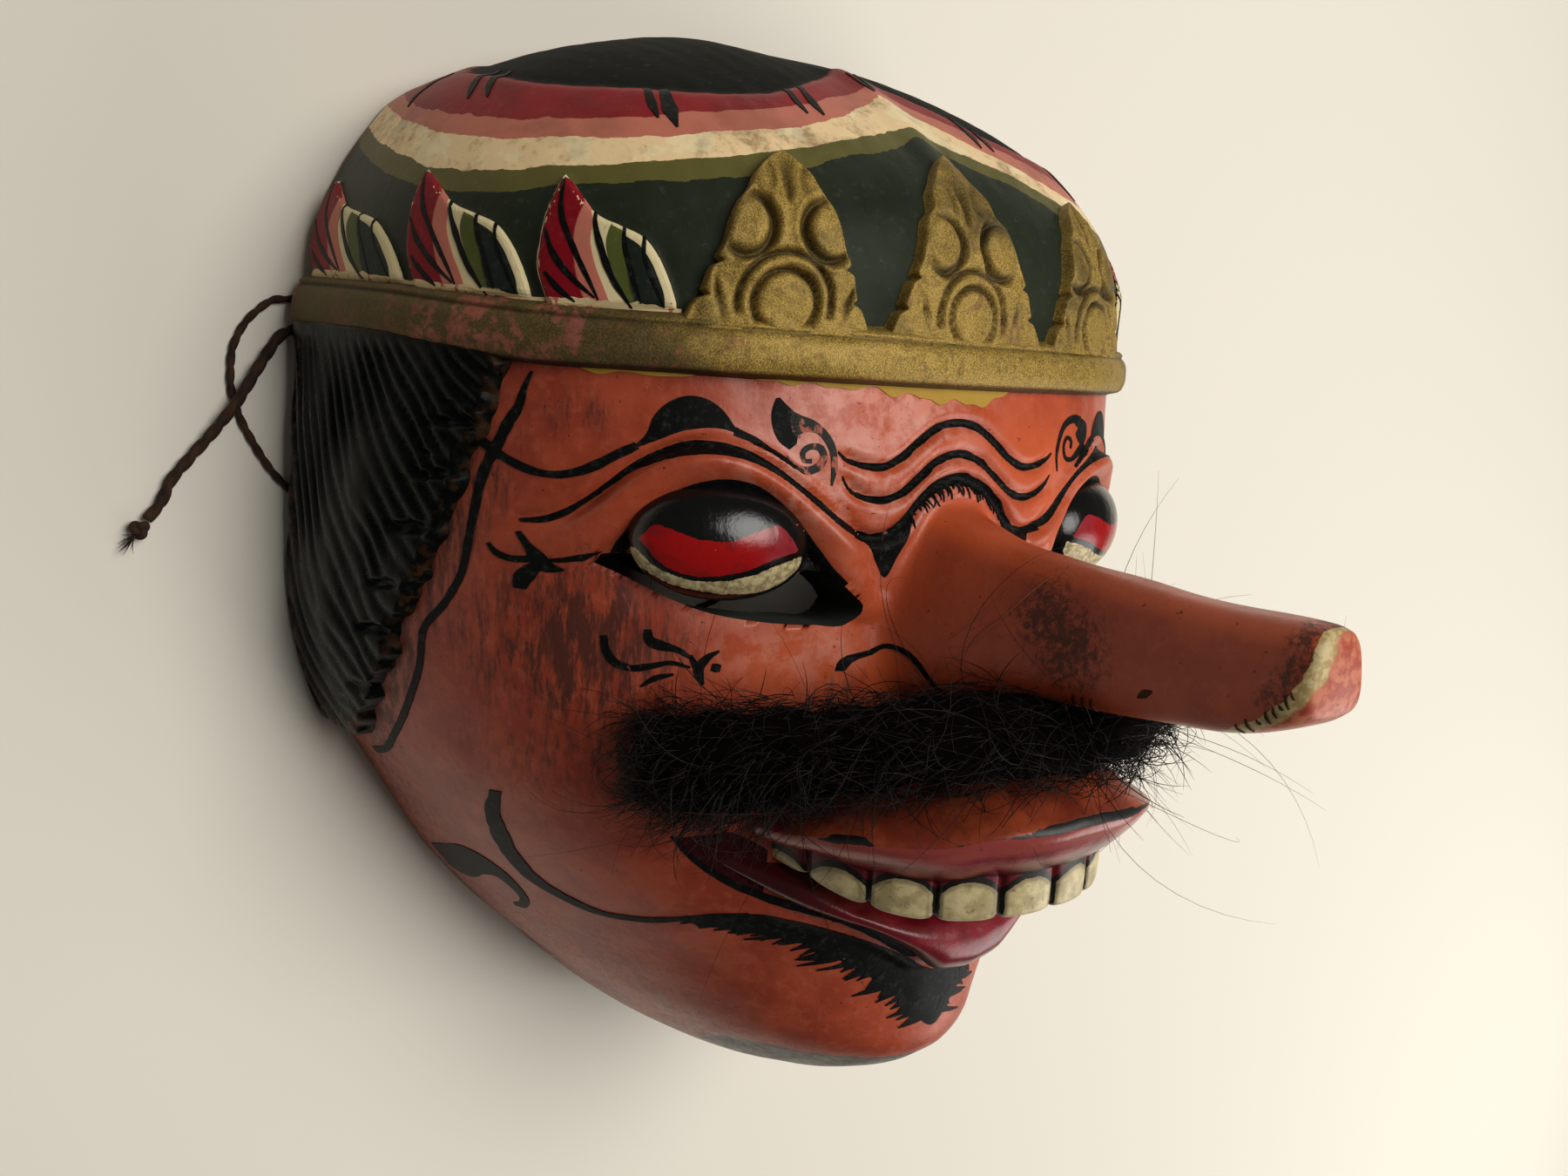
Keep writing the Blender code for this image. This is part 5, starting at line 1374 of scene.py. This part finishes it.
def faceMarks():
    # the marks of the face, each as layMarks takes it; 'side' mirrors a mark drawn for the right
    marks = []

    def lay(edges, wear, layer=0, side=1, rays=frontRays, colour=black):
        marks.append((tuple(edge * (side, 1) for edge in edges), rays, colour, wear, layer))

    for side in (-1, 1):
        for key, (top, low) in browMarks.items():
            lay(patch(top, low), 0.12 if key == "ring" else 0.28, 0, side)
        for number, (points, widths) in enumerate(browStrokes):
            if points[-1][0] != 0:
                lay(brushStroke(points, widths, 3 * number + side + 1), 0.3, 1, side)
            elif side > 0:      # runs on across the middle as one stroke
                whole = points + [(-x, y) for x, y in points[-2::-1]]
                both = [(at / 2, w) for at, w in widths] + [(1 - at / 2, w) for at, w in widths[-2::-1]]
                lay(brushStroke(whole, both, 3 * number + 2), 0.3, 1)
        # the mouth's corner painted dark red as the shade under the moustache, and the black edge that
        # follows the lower lip to it
        lay(patch([(41.0, -33.2), (37.8, -32.4), (34.9, -31.8), (32.4, -32.8), (29.6, -34.6)],
                  [(40.9, -33.6), (38.5, -36.1), (34.8, -38.9), (32.0, -40.4), (29.6, -41.4)]),
            0.2, 0, side, colour="#33090E")
        t = np.radians(np.linspace(2, 70, 50))
        lipX, lipY = 32 * np.sin(t) + 0.3, smoothCurve(mouth["lowerLow"], np.degrees(t)) - 1.0
        past = [(32.4, -40.9), (34.8, -39.4), (38.7, -36.3), (41.6, -32.9)]
        line = np.concatenate([np.stack([lipX, lipY], -1), past])
        lay(brushStroke(line, [(0, 1.3), (0.8, 1.2), (1, 0.4)], 60), 0.25, 0, side)
        # beside the hair, (height, y) round to the jaw
        beside = [(56.0, 34.4), (55.2, 32.0), (54.6, 29.4), (53.6, 27.4), (52.2, 24.0), (50.8, 21.0),
                  (48.7, 12.4), (46.6, 4.6), (43.6, 0.0), (39.6, -4.4), (38.0, -10.1), (34.0, -16.5),
                  (26.5, -24.0), (19.0, -29.0), (12.5, -31.0)]
        height, y = np.array(beside).T
        widths = [(0, 0.3), (0.08, 1.4), (0.16, 1.5), (0.3, 1.1), (1, 1.1)]
        line = np.stack([np.degrees(heightAngle(height, y)), y], -1)
        lay(roundStroke(line, widths, 70, perDegree=1.25), 0.22, 1, side, roundRays)
        # curl at the jaw's edge
        curl = patch([(8, -51.5), (16, -48.8), (25, -46.4), (30, -46.8), (34, -49.1), (35.0, -53.1),
                      (31.5, -56.8), (28, -57.6)],
                     [(9, -56.5), (15, -56.0), (21, -54.0), (26, -51.6), (30.5, -51.0), (32.5, -53.6),
                      (30.2, -56.0), (28, -57.0)], 40)
        lay([np.stack([np.degrees(heightAngle(*edge.T)), edge[:, 1]], -1) for edge in curl],
            0.25, 0, side, roundRays)
        # beside the nostril
        flank = sideRays(side)
        arc = [(78.5, -7.2), (78.9, -5.0), (79.7, -3.9), (82.0, -3.9), (84.8, -5.2), (86.9, -7.4),
               (88.4, -10.4)]
        lay(brushStroke(arc, [(0, 0.3), (0.3, 0.7), (0.7, 0.9), (1, 0.5)], 80), 0.2, 1, rays=flank)
        # gold carried past the band's lower edge
        degrees = np.linspace(0, 47, 160)
        edge = smoothCurve(forehead["low"], degrees)
        past = smoothCurve([(-47, 0.0), (-42, 1.3), (-30, 1.5), (-14, 1.7), (-10, 2.6), (0, 2.8), (6, 2.4),
                            (9, 0.5), (14, 0.2), (18, 1.1), (30, 0.9), (42, 1.0), (47, 0)], degrees * side)
        past = (past * (1 + 0.3 * wobble(degrees * side, 0 * degrees, 7, 91)
                        + 0.15 * wobble(degrees * side, 0 * degrees, 3.2, 92)))
        lay((np.stack([degrees, edge + 0.6], -1), np.stack([degrees, edge + 0.4 - past], -1)),
            0.3, 2, side, roundRays, dullGold)
        # scratches, nicks and a spot on the nose's flank
        scratches = [((88, -7), (104, 10.4), 0.13), ((90, -1), (98, 7.5), 0.08)]
        for number, (start, end, width) in enumerate(scratches):
            middle = ((start[0] + end[0]) / 2 + 0.3, (start[1] + end[1]) / 2 - 0.2)
            widths = [(0, width / 2), (0.5, width), (1, width / 3)]
            lay(brushStroke([start, middle, end], widths, 100 + number), 0.2, rays=flank, colour="#A8664A")
        widths = [(0, 0.25), (0.5, 0.4), (1, 0.2)]
        for z in (111.5, 113.0, 114.4):
            lay(brushStroke([(z, -6.2), (z + 0.2, -5.2), (z + 0.6, -4.2)], widths, 110),
                0.3, rays=flank, colour="#4A1A18")
        spotLine, widths = [(122.3, -2.2), (123.3, -1.5), (124.3, -1.0)], [(0, 0.3), (0.5, 1.1), (1, 0.3)]
        lay(brushStroke(spotLine, widths, 120), 0.3, rays=flank, colour="#43201A")
        for number in range(8):
            y = -2.9 + number * 0.8
            z = float(smoothCurve(nose["tipLine"], y)) + 0.9
            reach = 0.55 + 0.3 * math.sin(number * 2.3)
            lay(brushStroke([(z + 0.1, y + reach), (z + 0.2, y), (z + 0.6, y - reach)],
                            [(0, 0.12), (0.5, 0.34), (1, 0.12)], 130 + number),
                0.4, rays=flank, colour="#3A2A18")
    lay(patch(*(line + [(-x, y) for x, y in line[-2::-1]] for line in (beardTop, beardLow))), 0.25)
    for points, widths in browHairs():
        lay(brushStroke(points, widths, 7), 0.3, 1)
    # on the left a worn grey comma with its spiral, on the right a black one
    lay(patch([(-32.1, 32.5), (-32.7, 30.4), (-32.5, 28.2), (-31.6, 26.4), (-30.2, 25.4)],
              [(-31.6, 32.6), (-30.6, 31.6), (-29.4, 30.5), (-28.9, 28.6), (-29.2, 26.2)]), 0.36)
    lay(patch([(-30.6, 31.3), (-28.9, 30.4), (-26.6, 29.6), (-24.6, 28.0), (-23.3, 25.9), (-22.9, 23.4),
               (-23.5, 20.4)], [(-29.6, 27.0), (-27.9, 27.9), (-26.2, 27.8), (-24.9, 26.5), (-24.1, 24.9),
                                (-23.9, 23.0), (-23.8, 20.4)]), 0.5, colour=grey)
    spiral = [(-30.9, 24.5), (-29.6, 23.2), (-27.8, 22.5), (-26.1, 22.9), (-25.1, 24.3), (-25.6, 25.7),
              (-27.2, 25.9), (-28.3, 25.0), (-28.0, 23.9), (-26.9, 23.9)]
    lay(brushStroke(spiral, [(0, 0.5), (0.3, 1.2), (0.7, 0.9), (1, 0.6)], 140), 0.5, colour=grey)
    spiral = [(24.6, 22.3), (24.3, 24.6), (25.2, 27.5), (27.0, 29.8), (29.8, 30.9), (32.4, 30.6)]
    lay(brushStroke(spiral, [(0, 0.3), (0.3, 0.8), (0.7, 1.2), (1, 1.6)], 141), 0.25)
    lay(patch([(31.0, 31.2), (33.0, 31.0), (35.2, 29.8), (35.0, 27.9), (33.4, 26.6), (32.2, 27.0)],
              [(30.8, 29.8), (31.8, 29.4), (31.0, 28.4), (31.4, 27.7), (31.8, 27.4), (32.0, 27.1)]), 0.25)
    spiral = [(33.8, 26.9), (31.4, 25.2), (29.0, 24.1), (27.2, 24.6), (26.8, 26.4), (28.0, 27.8),
              (29.4, 27.2), (29.2, 26.0)]
    lay(brushStroke(spiral, [(0, 1.2), (0.4, 0.7), (1, 0.6)], 142), 0.25)
    return marks


leafLines = {  # (share round from the front, share up) of a painted leaf
    "redPink": [(0.85, 0.95), (0.72, 0.78), (0.74, 0.69), (0.755, 0.58), (0.75, 0.48), (0.727, 0.35),
                (0.68, 0.2), (0.62, 0.06)],
    "pinkCream": [(0.66, 0.75), (0.63, 0.65), (0.63, 0.53), (0.58, 0.36), (0.5, 0.19), (0.44, 0.06)],
    "creamOlive": [(0.5, 0.64), (0.52, 0.53), (0.475, 0.366), (0.4, 0.2), (0.32, 0.05)],
    "oliveGreen": [(0.42, 0.6), (0.41, 0.52), (0.38, 0.41), (0.34, 0.22), (0.28, 0.05)],
    "red": [(0.905, 0.97), (0.95, 0.84), (0.975, 0.7), (0.985, 0.5), (0.98, 0.33), (0.92, 0.14),
            (0.86, 0.03)],
    "greenEdge": [(0.41, 0.578), (0.285, 0.505), (0.21, 0.415), (0.14, 0.285), (0.09, 0.165),
                  (0.075, 0.045)],
}
leafStrokes = [
    ([(0.9, 0.95), (0.856, 0.686), (0.75, 0.48), (0.58, 0.19), (0.53, 0.1)], 1.1),
    ([(0.97, 0.594), (0.89, 0.43), (0.727, 0.246), (0.554, 0.11)], 1.2),
    ([(0.93, 0.28), (0.81, 0.154), (0.69, 0.07)], 1.1),
    ([(0.626, 0.726), (0.6, 0.61), (0.554, 0.486), (0.46, 0.28), (0.3, 0.057)], 1.2),
    ([(0.41, 0.64), (0.39, 0.5), (0.33, 0.33), (0.24, 0.1)], 0.9),
    ([(0.27, 0.577), (0.245, 0.417), (0.173, 0.257), (0.094, 0.1)], 0.6),
]


def clothMarks():
    marks = []

    def lay(edges, wear, layer, colour=black):
        marks.append((tuple(edges), roundRays, colour, wear, layer))

    leafPaints = (("red", "redPink", "#7E101C"), ("redPink", "pinkCream", "#BC6F5E"),
                  ("creamOlive", "oliveGreen", "#4E5426"), ("oliveGreen", "greenEdge", "#1C231D"))
    top = [(0.91, 1.0)]      # where a leaf's two edges meet
    outer = top + leafShape["outer"][1:-1][::-1] + [(0.86, 0.0)]
    inner = top + leafShape["inner"][1:] + [(0.0, 0.0)]
    # pairs of ticks across the red stripe, (degrees, y, length, width)
    ticks = [(91, 79.0, 5, 1.0), (77.5, 76.9, 5.5, 1.0), (62.8, 76.3, 5.5, 0.9), (59.6, 76.0, 5.0, 0.9),
             (38.0, 72.3, 4.6, 0.8), (36.0, 71.6, 5.6, 1.3), (18.6, 75.8, 4.0, 0.8), (16.0, 76.2, 4.4, 1.0),
             (1.1, 82.0, 3.0, 0.7)]
    for side in (-1, 1):
        for number, spot in enumerate(paintedLeaves):
            edges = [leafPlace(spot, side, splineThrough(line, 60)) for line in (outer, inner)]
            lay(edges, 0.3, 0, "#D6C79C")
            for first, second, colour in leafPaints:
                lines = leafLines[first], leafLines[second]
                edges = [leafPlace(spot, side, splineThrough(line, 34)) for line in lines]
                lay(edges, 0.27, 2, colour)
            # cream left along the band under the leaf
            degrees = np.linspace(spot[0] - 0.5, spot[1] + 0.8, 12)
            line = np.stack([side * degrees, smoothCurve(forehead["top"], degrees) + 0.95], -1)
            widths = [(0, 0.5), (0.3, 1.3), (0.8, 1.1), (1, 0.4)]
            lay(roundStroke(line, widths, 170 + number, 0.3), 0.42, 3, "#CDB98C")
            for points, width in leafStrokes:
                widths = [(0, 0.3), (0.3, width * 0.68), (0.7, width * 0.62), (1, 0.2)]
                lay(roundStroke(leafPlace(spot, side, points), widths, 150 + number), 0.25, 4)
        for degrees, y, reach, width in ticks:
            line = [(side * degrees, y + reach * 0.6), (side * (degrees - 0.3), y),
                    (side * (degrees - 1.0), y - reach * 0.6)]
            lay(roundStroke(line, [(0, width), (0.6, width * 1.7), (1, 0.3)], 160), 0.2, 1)
    return marks


cordRoute = [(-66.5, 36.3, 5.6), (-66.6, 38.6, 3.2), (-69.0, 41.6, 1.5), (-73.5, 43.6, 0.8),
             (-78.9, 43.4, 0.7), (-82.3, 41.2, 0.7), (-84.8, 38.0, 0.7), (-86.2, 34.0, 0.7),
             (-86.4, 29.8, 0.7), (-85.4, 25.2, 0.7), (-83.0, 20.0, 0.7), (-80.0, 15.2, 0.7),
             (-75.6, 10.6, 0.7), (-67.0, 4.0, 0.7), (-54.0, -3.5, 0.7), (-38.0, -10.0, 0.7),
             (-20.0, -14.6, 0.7), (-2.0, -14.8, 0.7), (16.0, -10.0, 0.7), (33.0, -1.0, 0.7),
             (47.0, 10.5, 0.7), (57.5, 22.5, 0.9), (63.6, 31.0, 2.6), (66.5, 36.3, 5.6)]
tailRoute = [(-64.8, 32.8, 5.4), (-65.4, 35.0, 3.6), (-67.6, 37.6, 1.7), (-72.0, 39.4, 1.15),
             (-77.8, 38.2, 1.25), (-81.4, 34.0, 2.1), (-83.7, 30.5, 2.85), (-85.4, 27.7, 3.05),
             (-87.3, 24.9, 2.85), (-89.8, 21.4, 2.0), (-93.0, 17.4, 1.2), (-95.8, 13.8, 1.15),
             (-97.2, 10.6, 1.15), (-99.4, 7.8, 1.15)]


def cordLine(route, spacing):
    # smooth curve through the route's points, read at even spacing along its chords
    known = np.array(route, float)
    chord = runLength(known)
    at = np.linspace(0, chord[-1], int(chord[-1] / spacing) + 1)
    return np.stack([smoothCurve(list(zip(chord, known[:, k])), at) for k in range(3)], -1)


def twine(line, radius, pitch, sides=14):
    # two plies wound together: a tube whose section has two lobes and turns once per pitch
    flatSide, upSide = sideWays(unit(np.gradient(line, axis=0)), (0, 0, 1.0))
    length = runLength(line)
    turn = np.linspace(0, 2 * math.pi, sides, endpoint=False)[None]
    lobes = np.abs(np.cos(turn - (length / pitch * math.pi)[:, None]))
    reach = radius * (0.62 + 0.38 * lobes**0.8)
    ring = (line[:, None] + flatSide[:, None] * (np.cos(turn) * reach)[..., None] + upSide[:, None]
            * (np.sin(turn) * reach)[..., None])
    ends = [np.broadcast_to(line[k], ring[0].shape) for k in (0, -1)]
    return np.concatenate([ends[:1], ring, ends[1:]])


def tubeStrands(starts, ways, bends, lengths, radii, sections=6):
    # tapered three-sided hairs, each a circle's arc that leaves along its way and turns towards its bend
    t = np.linspace(0, 1, sections)[None, :]
    aside = bends - ways * (bends * ways).sum(-1, keepdims=True)
    size = np.maximum(np.linalg.norm(aside, axis=-1, keepdims=True), 1e-6)
    turned = np.clip(2 * size, 0.02, 3.6)
    radius = lengths[:, None] / turned
    line = (starts[:, None] + (radius * np.sin(turned * t))[..., None] * ways[:, None]
            + (radius * (1 - np.cos(turned * t)))[..., None] * (aside / size)[:, None])
    flatSide, upSide = sideWays(unit(np.gradient(line, axis=1)), (0.31, 0.17, 0.93))
    turn = np.radians([90, 210, 330])
    radius = radii[:, None] * (1 - 0.8 * np.linspace(0, 1, sections)[None]**2)
    ring = (line[:, :, None] + radius[:, :, None, None]
            * (flatSide[:, :, None] * np.cos(turn)[:, None] + upSide[:, :, None] * np.sin(turn)[:, None]))
    count = len(starts)
    faces = gridFaces(sections, 3, wrap=True)
    last = 3 * sections - 1
    caps = np.array([[2, 1, 0, 0], [last - 2, last - 1, last, last]])
    faces = np.vstack([faces, caps])
    faces = (faces[None] + (np.arange(count) * 3 * sections)[:, None, None]).reshape(-1, 4)
    return ring.reshape(-1, 3), faces


def makeCords():
    for name, route, radius, pitch in (("tie_cord", cordRoute, 0.65, 2.6),
                                       ("tie_tail", tailRoute, 0.95, 3.2)):
        line = cordLine(route, 0.45)
        points = twine(line, radius, pitch)
        tone = 0.5 + 0.5 * wobble(points[..., 0], points[..., 1], 4, 3)
        piece = addMesh(name, points, gridFaces(*points.shape[:2], wrap=True), twineFibre, {"tone": tone})
    # overhand knot: a trefoil pulled small, with frayed fibres past it
    end, before = np.array(tailRoute[-1]), np.array(tailRoute[-2])
    way = unit(end - before)
    centre = end + way * 1.8
    centre[2] = 1.6
    t = np.linspace(0, 2 * math.pi, 91)[:-1]
    loop = np.stack([(np.sin(t) + 2 * np.sin(2 * t)) * 0.36, (np.cos(t) - 2 * np.cos(2 * t)) * 0.36,
                     -np.sin(3 * t) * 0.5], -1)
    flatSide, upSide = sideWays(unit(np.roll(loop, -1, axis=0) - np.roll(loop, 1, axis=0)), (0, 0, 1.0))
    turn = np.linspace(0, 2 * math.pi, 12, endpoint=False)[None, :, None]
    ring = loop[:, None] + 0.6 * (flatSide[:, None] * np.cos(turn) + upSide[:, None] * np.sin(turn)) + centre
    ring[..., 2] = np.maximum(ring[..., 2], 0.03)
    ring = np.concatenate([ring, ring[:1]])
    random = np.random.default_rng(9)
    fibreWays = way + random.normal(0, 0.28, (16, 3)) * (1, 1, 0.5)
    strandPoints, strandFaces = tubeStrands(np.tile(centre + way * 0.9, (16, 1)), fibreWays,
                                            random.normal(0, 0.2, (16, 3)) * (1, 1, 0.2),
                                            random.uniform(1.5, 4.0, 16), np.full(16, 0.12))
    strandPoints[:, 2] = np.maximum(strandPoints[:, 2], 0.12)
    points = np.vstack([ring.reshape(-1, 3), strandPoints])
    faces = np.vstack([gridFaces(*ring.shape[:2], wrap=True), strandFaces + ring[..., 0].size])
    knot = addMesh("tie_knot", points, faces, twineFibre, {"tone": np.full(len(points), 0.5)})
    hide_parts("cord")
    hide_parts("cord_tail")
    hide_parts("cord_knot")


fur = {
    # (x, y, z, half-height, half-depth), from the middle to an end
    "stations": [(0, -11.6, 106, 7.2, 11.5), (13, -12.2, 101, 7.4, 11.5), (26, -14.8, 91, 7.6, 9.0),
                 (36, -17.8, 82, 9.3, 6.8), (44, -19.4, 72.3, 9.2, 4.8), (48, -19.6, 66.2, 5.5, 2.8)],
    "strands": 4700,
    "strays": 110,
}


def furPlace(along, turn, reach):
    # a place of the fur's oval: 'along' from -1 to 1, 'turn' round it, 'reach' as a share of its radius;
    # gives the point, the way along the fur and the way out of it
    right = np.array(fur["stations"], float)
    left = right[::-1] * (-1, 1, 1, 1, 1)
    rows = np.vstack([left[:-1], right])
    known = np.linspace(-1, 1, len(rows))

    def read(k, at):
        return smoothCurve(list(zip(known, rows[:, k])), np.clip(at, -1, 1))
    x, y, z, tall, deep = (read(k, along) for k in range(5))
    steps = np.stack([read(k, along + 0.03) - read(k, along - 0.03) for k in range(3)], -1)
    ways = unit(steps)
    outX, outZ = -ways[..., 2], ways[..., 0]
    size = np.maximum(np.hypot(outX, outZ), 1e-6)
    out = np.stack([outX / size * np.cos(turn), np.sin(turn), outZ / size * np.cos(turn)], -1)
    radii = np.stack([deep, tall, deep], -1)
    return np.stack([x, y, z], -1) + out * radii * np.asarray(reach)[..., None], ways, out


def makeMoustache():
    along = np.linspace(-1, 1, 90)[:, None]
    turn = np.linspace(0, 2 * math.pi, 36, endpoint=False)[None]
    close = np.sqrt(np.clip(1 - np.abs(along)**14, 0, 1))
    points = furPlace(along + 0 * turn, turn + 0 * along,
                      (0.76 + 0.08 * wobble(along * 60, turn * 8, 6, 71)) * close)[0]
    core = addMesh("moustache_core", points, gridFaces(90, 36, wrap=True), furMass,
                   {"tone": np.zeros(90 * 36)})
    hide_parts("moustache")
    random = np.random.default_rng(17)
    count = fur["strands"]
    along = random.uniform(-0.98, 0.98, count)
    turn = random.uniform(-2.3, 2.3, count)
    starts, ways, out = furPlace(along, turn, random.uniform(0.62, 1.0, count))
    side = np.sign(along + random.normal(0, 0.45, count))[:, None]
    hang = 0.08 + 0.6 * np.exp(-((np.abs(along) - 0.68) / 0.17)**2) * ramp(0.9, -0.2, turn)
    direction = (ways * side * random.uniform(0.3, 1.2, (count, 1))
                 + out * random.uniform(-0.05, 0.4, (count, 1)) + random.normal(0, 0.36, (count, 3))
                 + np.array([0, -1.0, 0]) * hang[:, None])
    direction = unit(direction)
    bends = (random.normal(0, 0.38, (count, 3)) - out * random.uniform(0.3, 1.0, (count, 1))
             + np.array([0, -0.1, 0]))
    lengths = np.clip(random.lognormal(math.log(8.6), 0.32, count), 4, 18) * (1 - 0.2 * np.abs(along))
    radii = random.uniform(0.055, 0.1, count)
    points, faces = tubeStrands(starts, direction, bends, lengths, radii)
    tone = np.repeat(random.beta(1.2, 4, count), 18)
    addMesh("moustache_hairs", points, faces, furFibre, {"tone": tone})
    # long strays that stand off the fur
    count = fur["strays"]
    along = np.clip(random.normal(0, 0.5, count), -0.95, 0.95)
    turn = random.uniform(-1.8, 1.8, count)
    starts, ways, out = furPlace(along, turn, np.full(count, 0.8))
    direction = (out * random.uniform(0.4, 1.0, (count, 1)) + ways * np.sign(along)[:, None]
                 * random.uniform(0, 0.9, (count, 1)) + random.normal(0, 0.3, (count, 3)))
    direction = unit(direction)
    points, faces = tubeStrands(starts, direction, random.normal(0, 0.6, (count, 3)),
                                random.uniform(14, 40, count), random.uniform(0.045, 0.07, count), 12)
    points[:, 2] = np.clip(points[:, 2], 1, 152)
    addMesh("moustache_strays", points, faces, furFibre,
            {"tone": np.repeat(random.beta(1.5, 3, count), 36)})


faceSurface = makeFace()
noseSurface = makeNose()
clothSurface = makeCloth()
together = (np.vstack([faceSurface[0], noseSurface[0]]),
            np.vstack([faceSurface[1], noseSurface[1] + len(faceSurface[0])]))
layMarks("face_brushwork", together, faceMarks())
layMarks("cloth_brushwork", clothSurface, clothMarks())
makeSlitWalls()
makeBack()
makeHair(-1)
makeHair(1)
makeBand()
makeGoldLeaves()
makeUpperLip()
makeTeeth()
makeLowerLip()
makeEye(-1)
makeEye(1)
makeCords()
makeMoustache()


def makeStage():
    size = 3.0
    mesh = bpy.data.meshes.new("floor")
    mesh.from_pydata([(-size, -size, 0), (size, -size, 0), (size, size, 0), (-size, size, 0)], [],
                     [(0, 1, 2, 3)])
    floor = bpy.data.objects.new("floor", mesh)
    bpy.context.scene.collection.objects.link(floor)
    material, _, shader, _ = newMaterial("matt_wall_paint", 0.9, 0.5)
    shader.inputs["Base Color"].default_value = linear("#E4DFD4")
    mesh.materials.append(material)
    return floor


def makeLight(name, place, target, size, power, colour):
    data = bpy.data.lights.new(name, "AREA")
    data.shape, data.size, data.energy, data.color = "DISK", size, power, linear(colour)[:3]
    light = bpy.data.objects.new(name, data)
    light.location = place
    light.rotation_euler = (Vector(target) - Vector(place)).to_track_quat("-Z", "Y").to_euler()
    bpy.context.scene.collection.objects.link(light)


def makeCamera():
    # looks down on the mask from its right side; columns are right, up and back
    right, up, look = ((0.79984, 0.05363, 0.59782), (0.05847, 0.98430, -0.16652),
                       (0.59736, -0.16814, -0.78415))
    place = (-0.1395, 0.03636, 0.22023)
    data = bpy.data.cameras.new("camera")
    data.sensor_width, data.lens, data.clip_start = 36, 29.226, 0.001
    camera = bpy.data.objects.new("camera", data)
    camera.matrix_world = Matrix([(right[k], up[k], -look[k], place[k]) for k in range(3)] + [(0, 0, 0, 1)])
    bpy.context.scene.collection.objects.link(camera)
    bpy.context.scene.camera = camera


makeStage()
makeLight("window", (0.15, 0.3, 0.85), (0.0, 0.0, 0.05), 0.6, 6.6, "#FFFBF4")
makeLight("low_window", (0.5, -0.35, 0.45), (0.0, 0.0, 0.05), 0.6, 3.0, "#FFFDF8")
world = bpy.data.worlds.new("room_light")
bpy.context.scene.world = world
world.use_nodes = True
world.node_tree.nodes["Background"].inputs["Color"].default_value = linear("#DDD8CC")
world.node_tree.nodes["Background"].inputs["Strength"].default_value = 0.1
bpy.context.scene.view_settings.view_transform = "Standard"
makeCamera()
print("stage, light and camera ready")
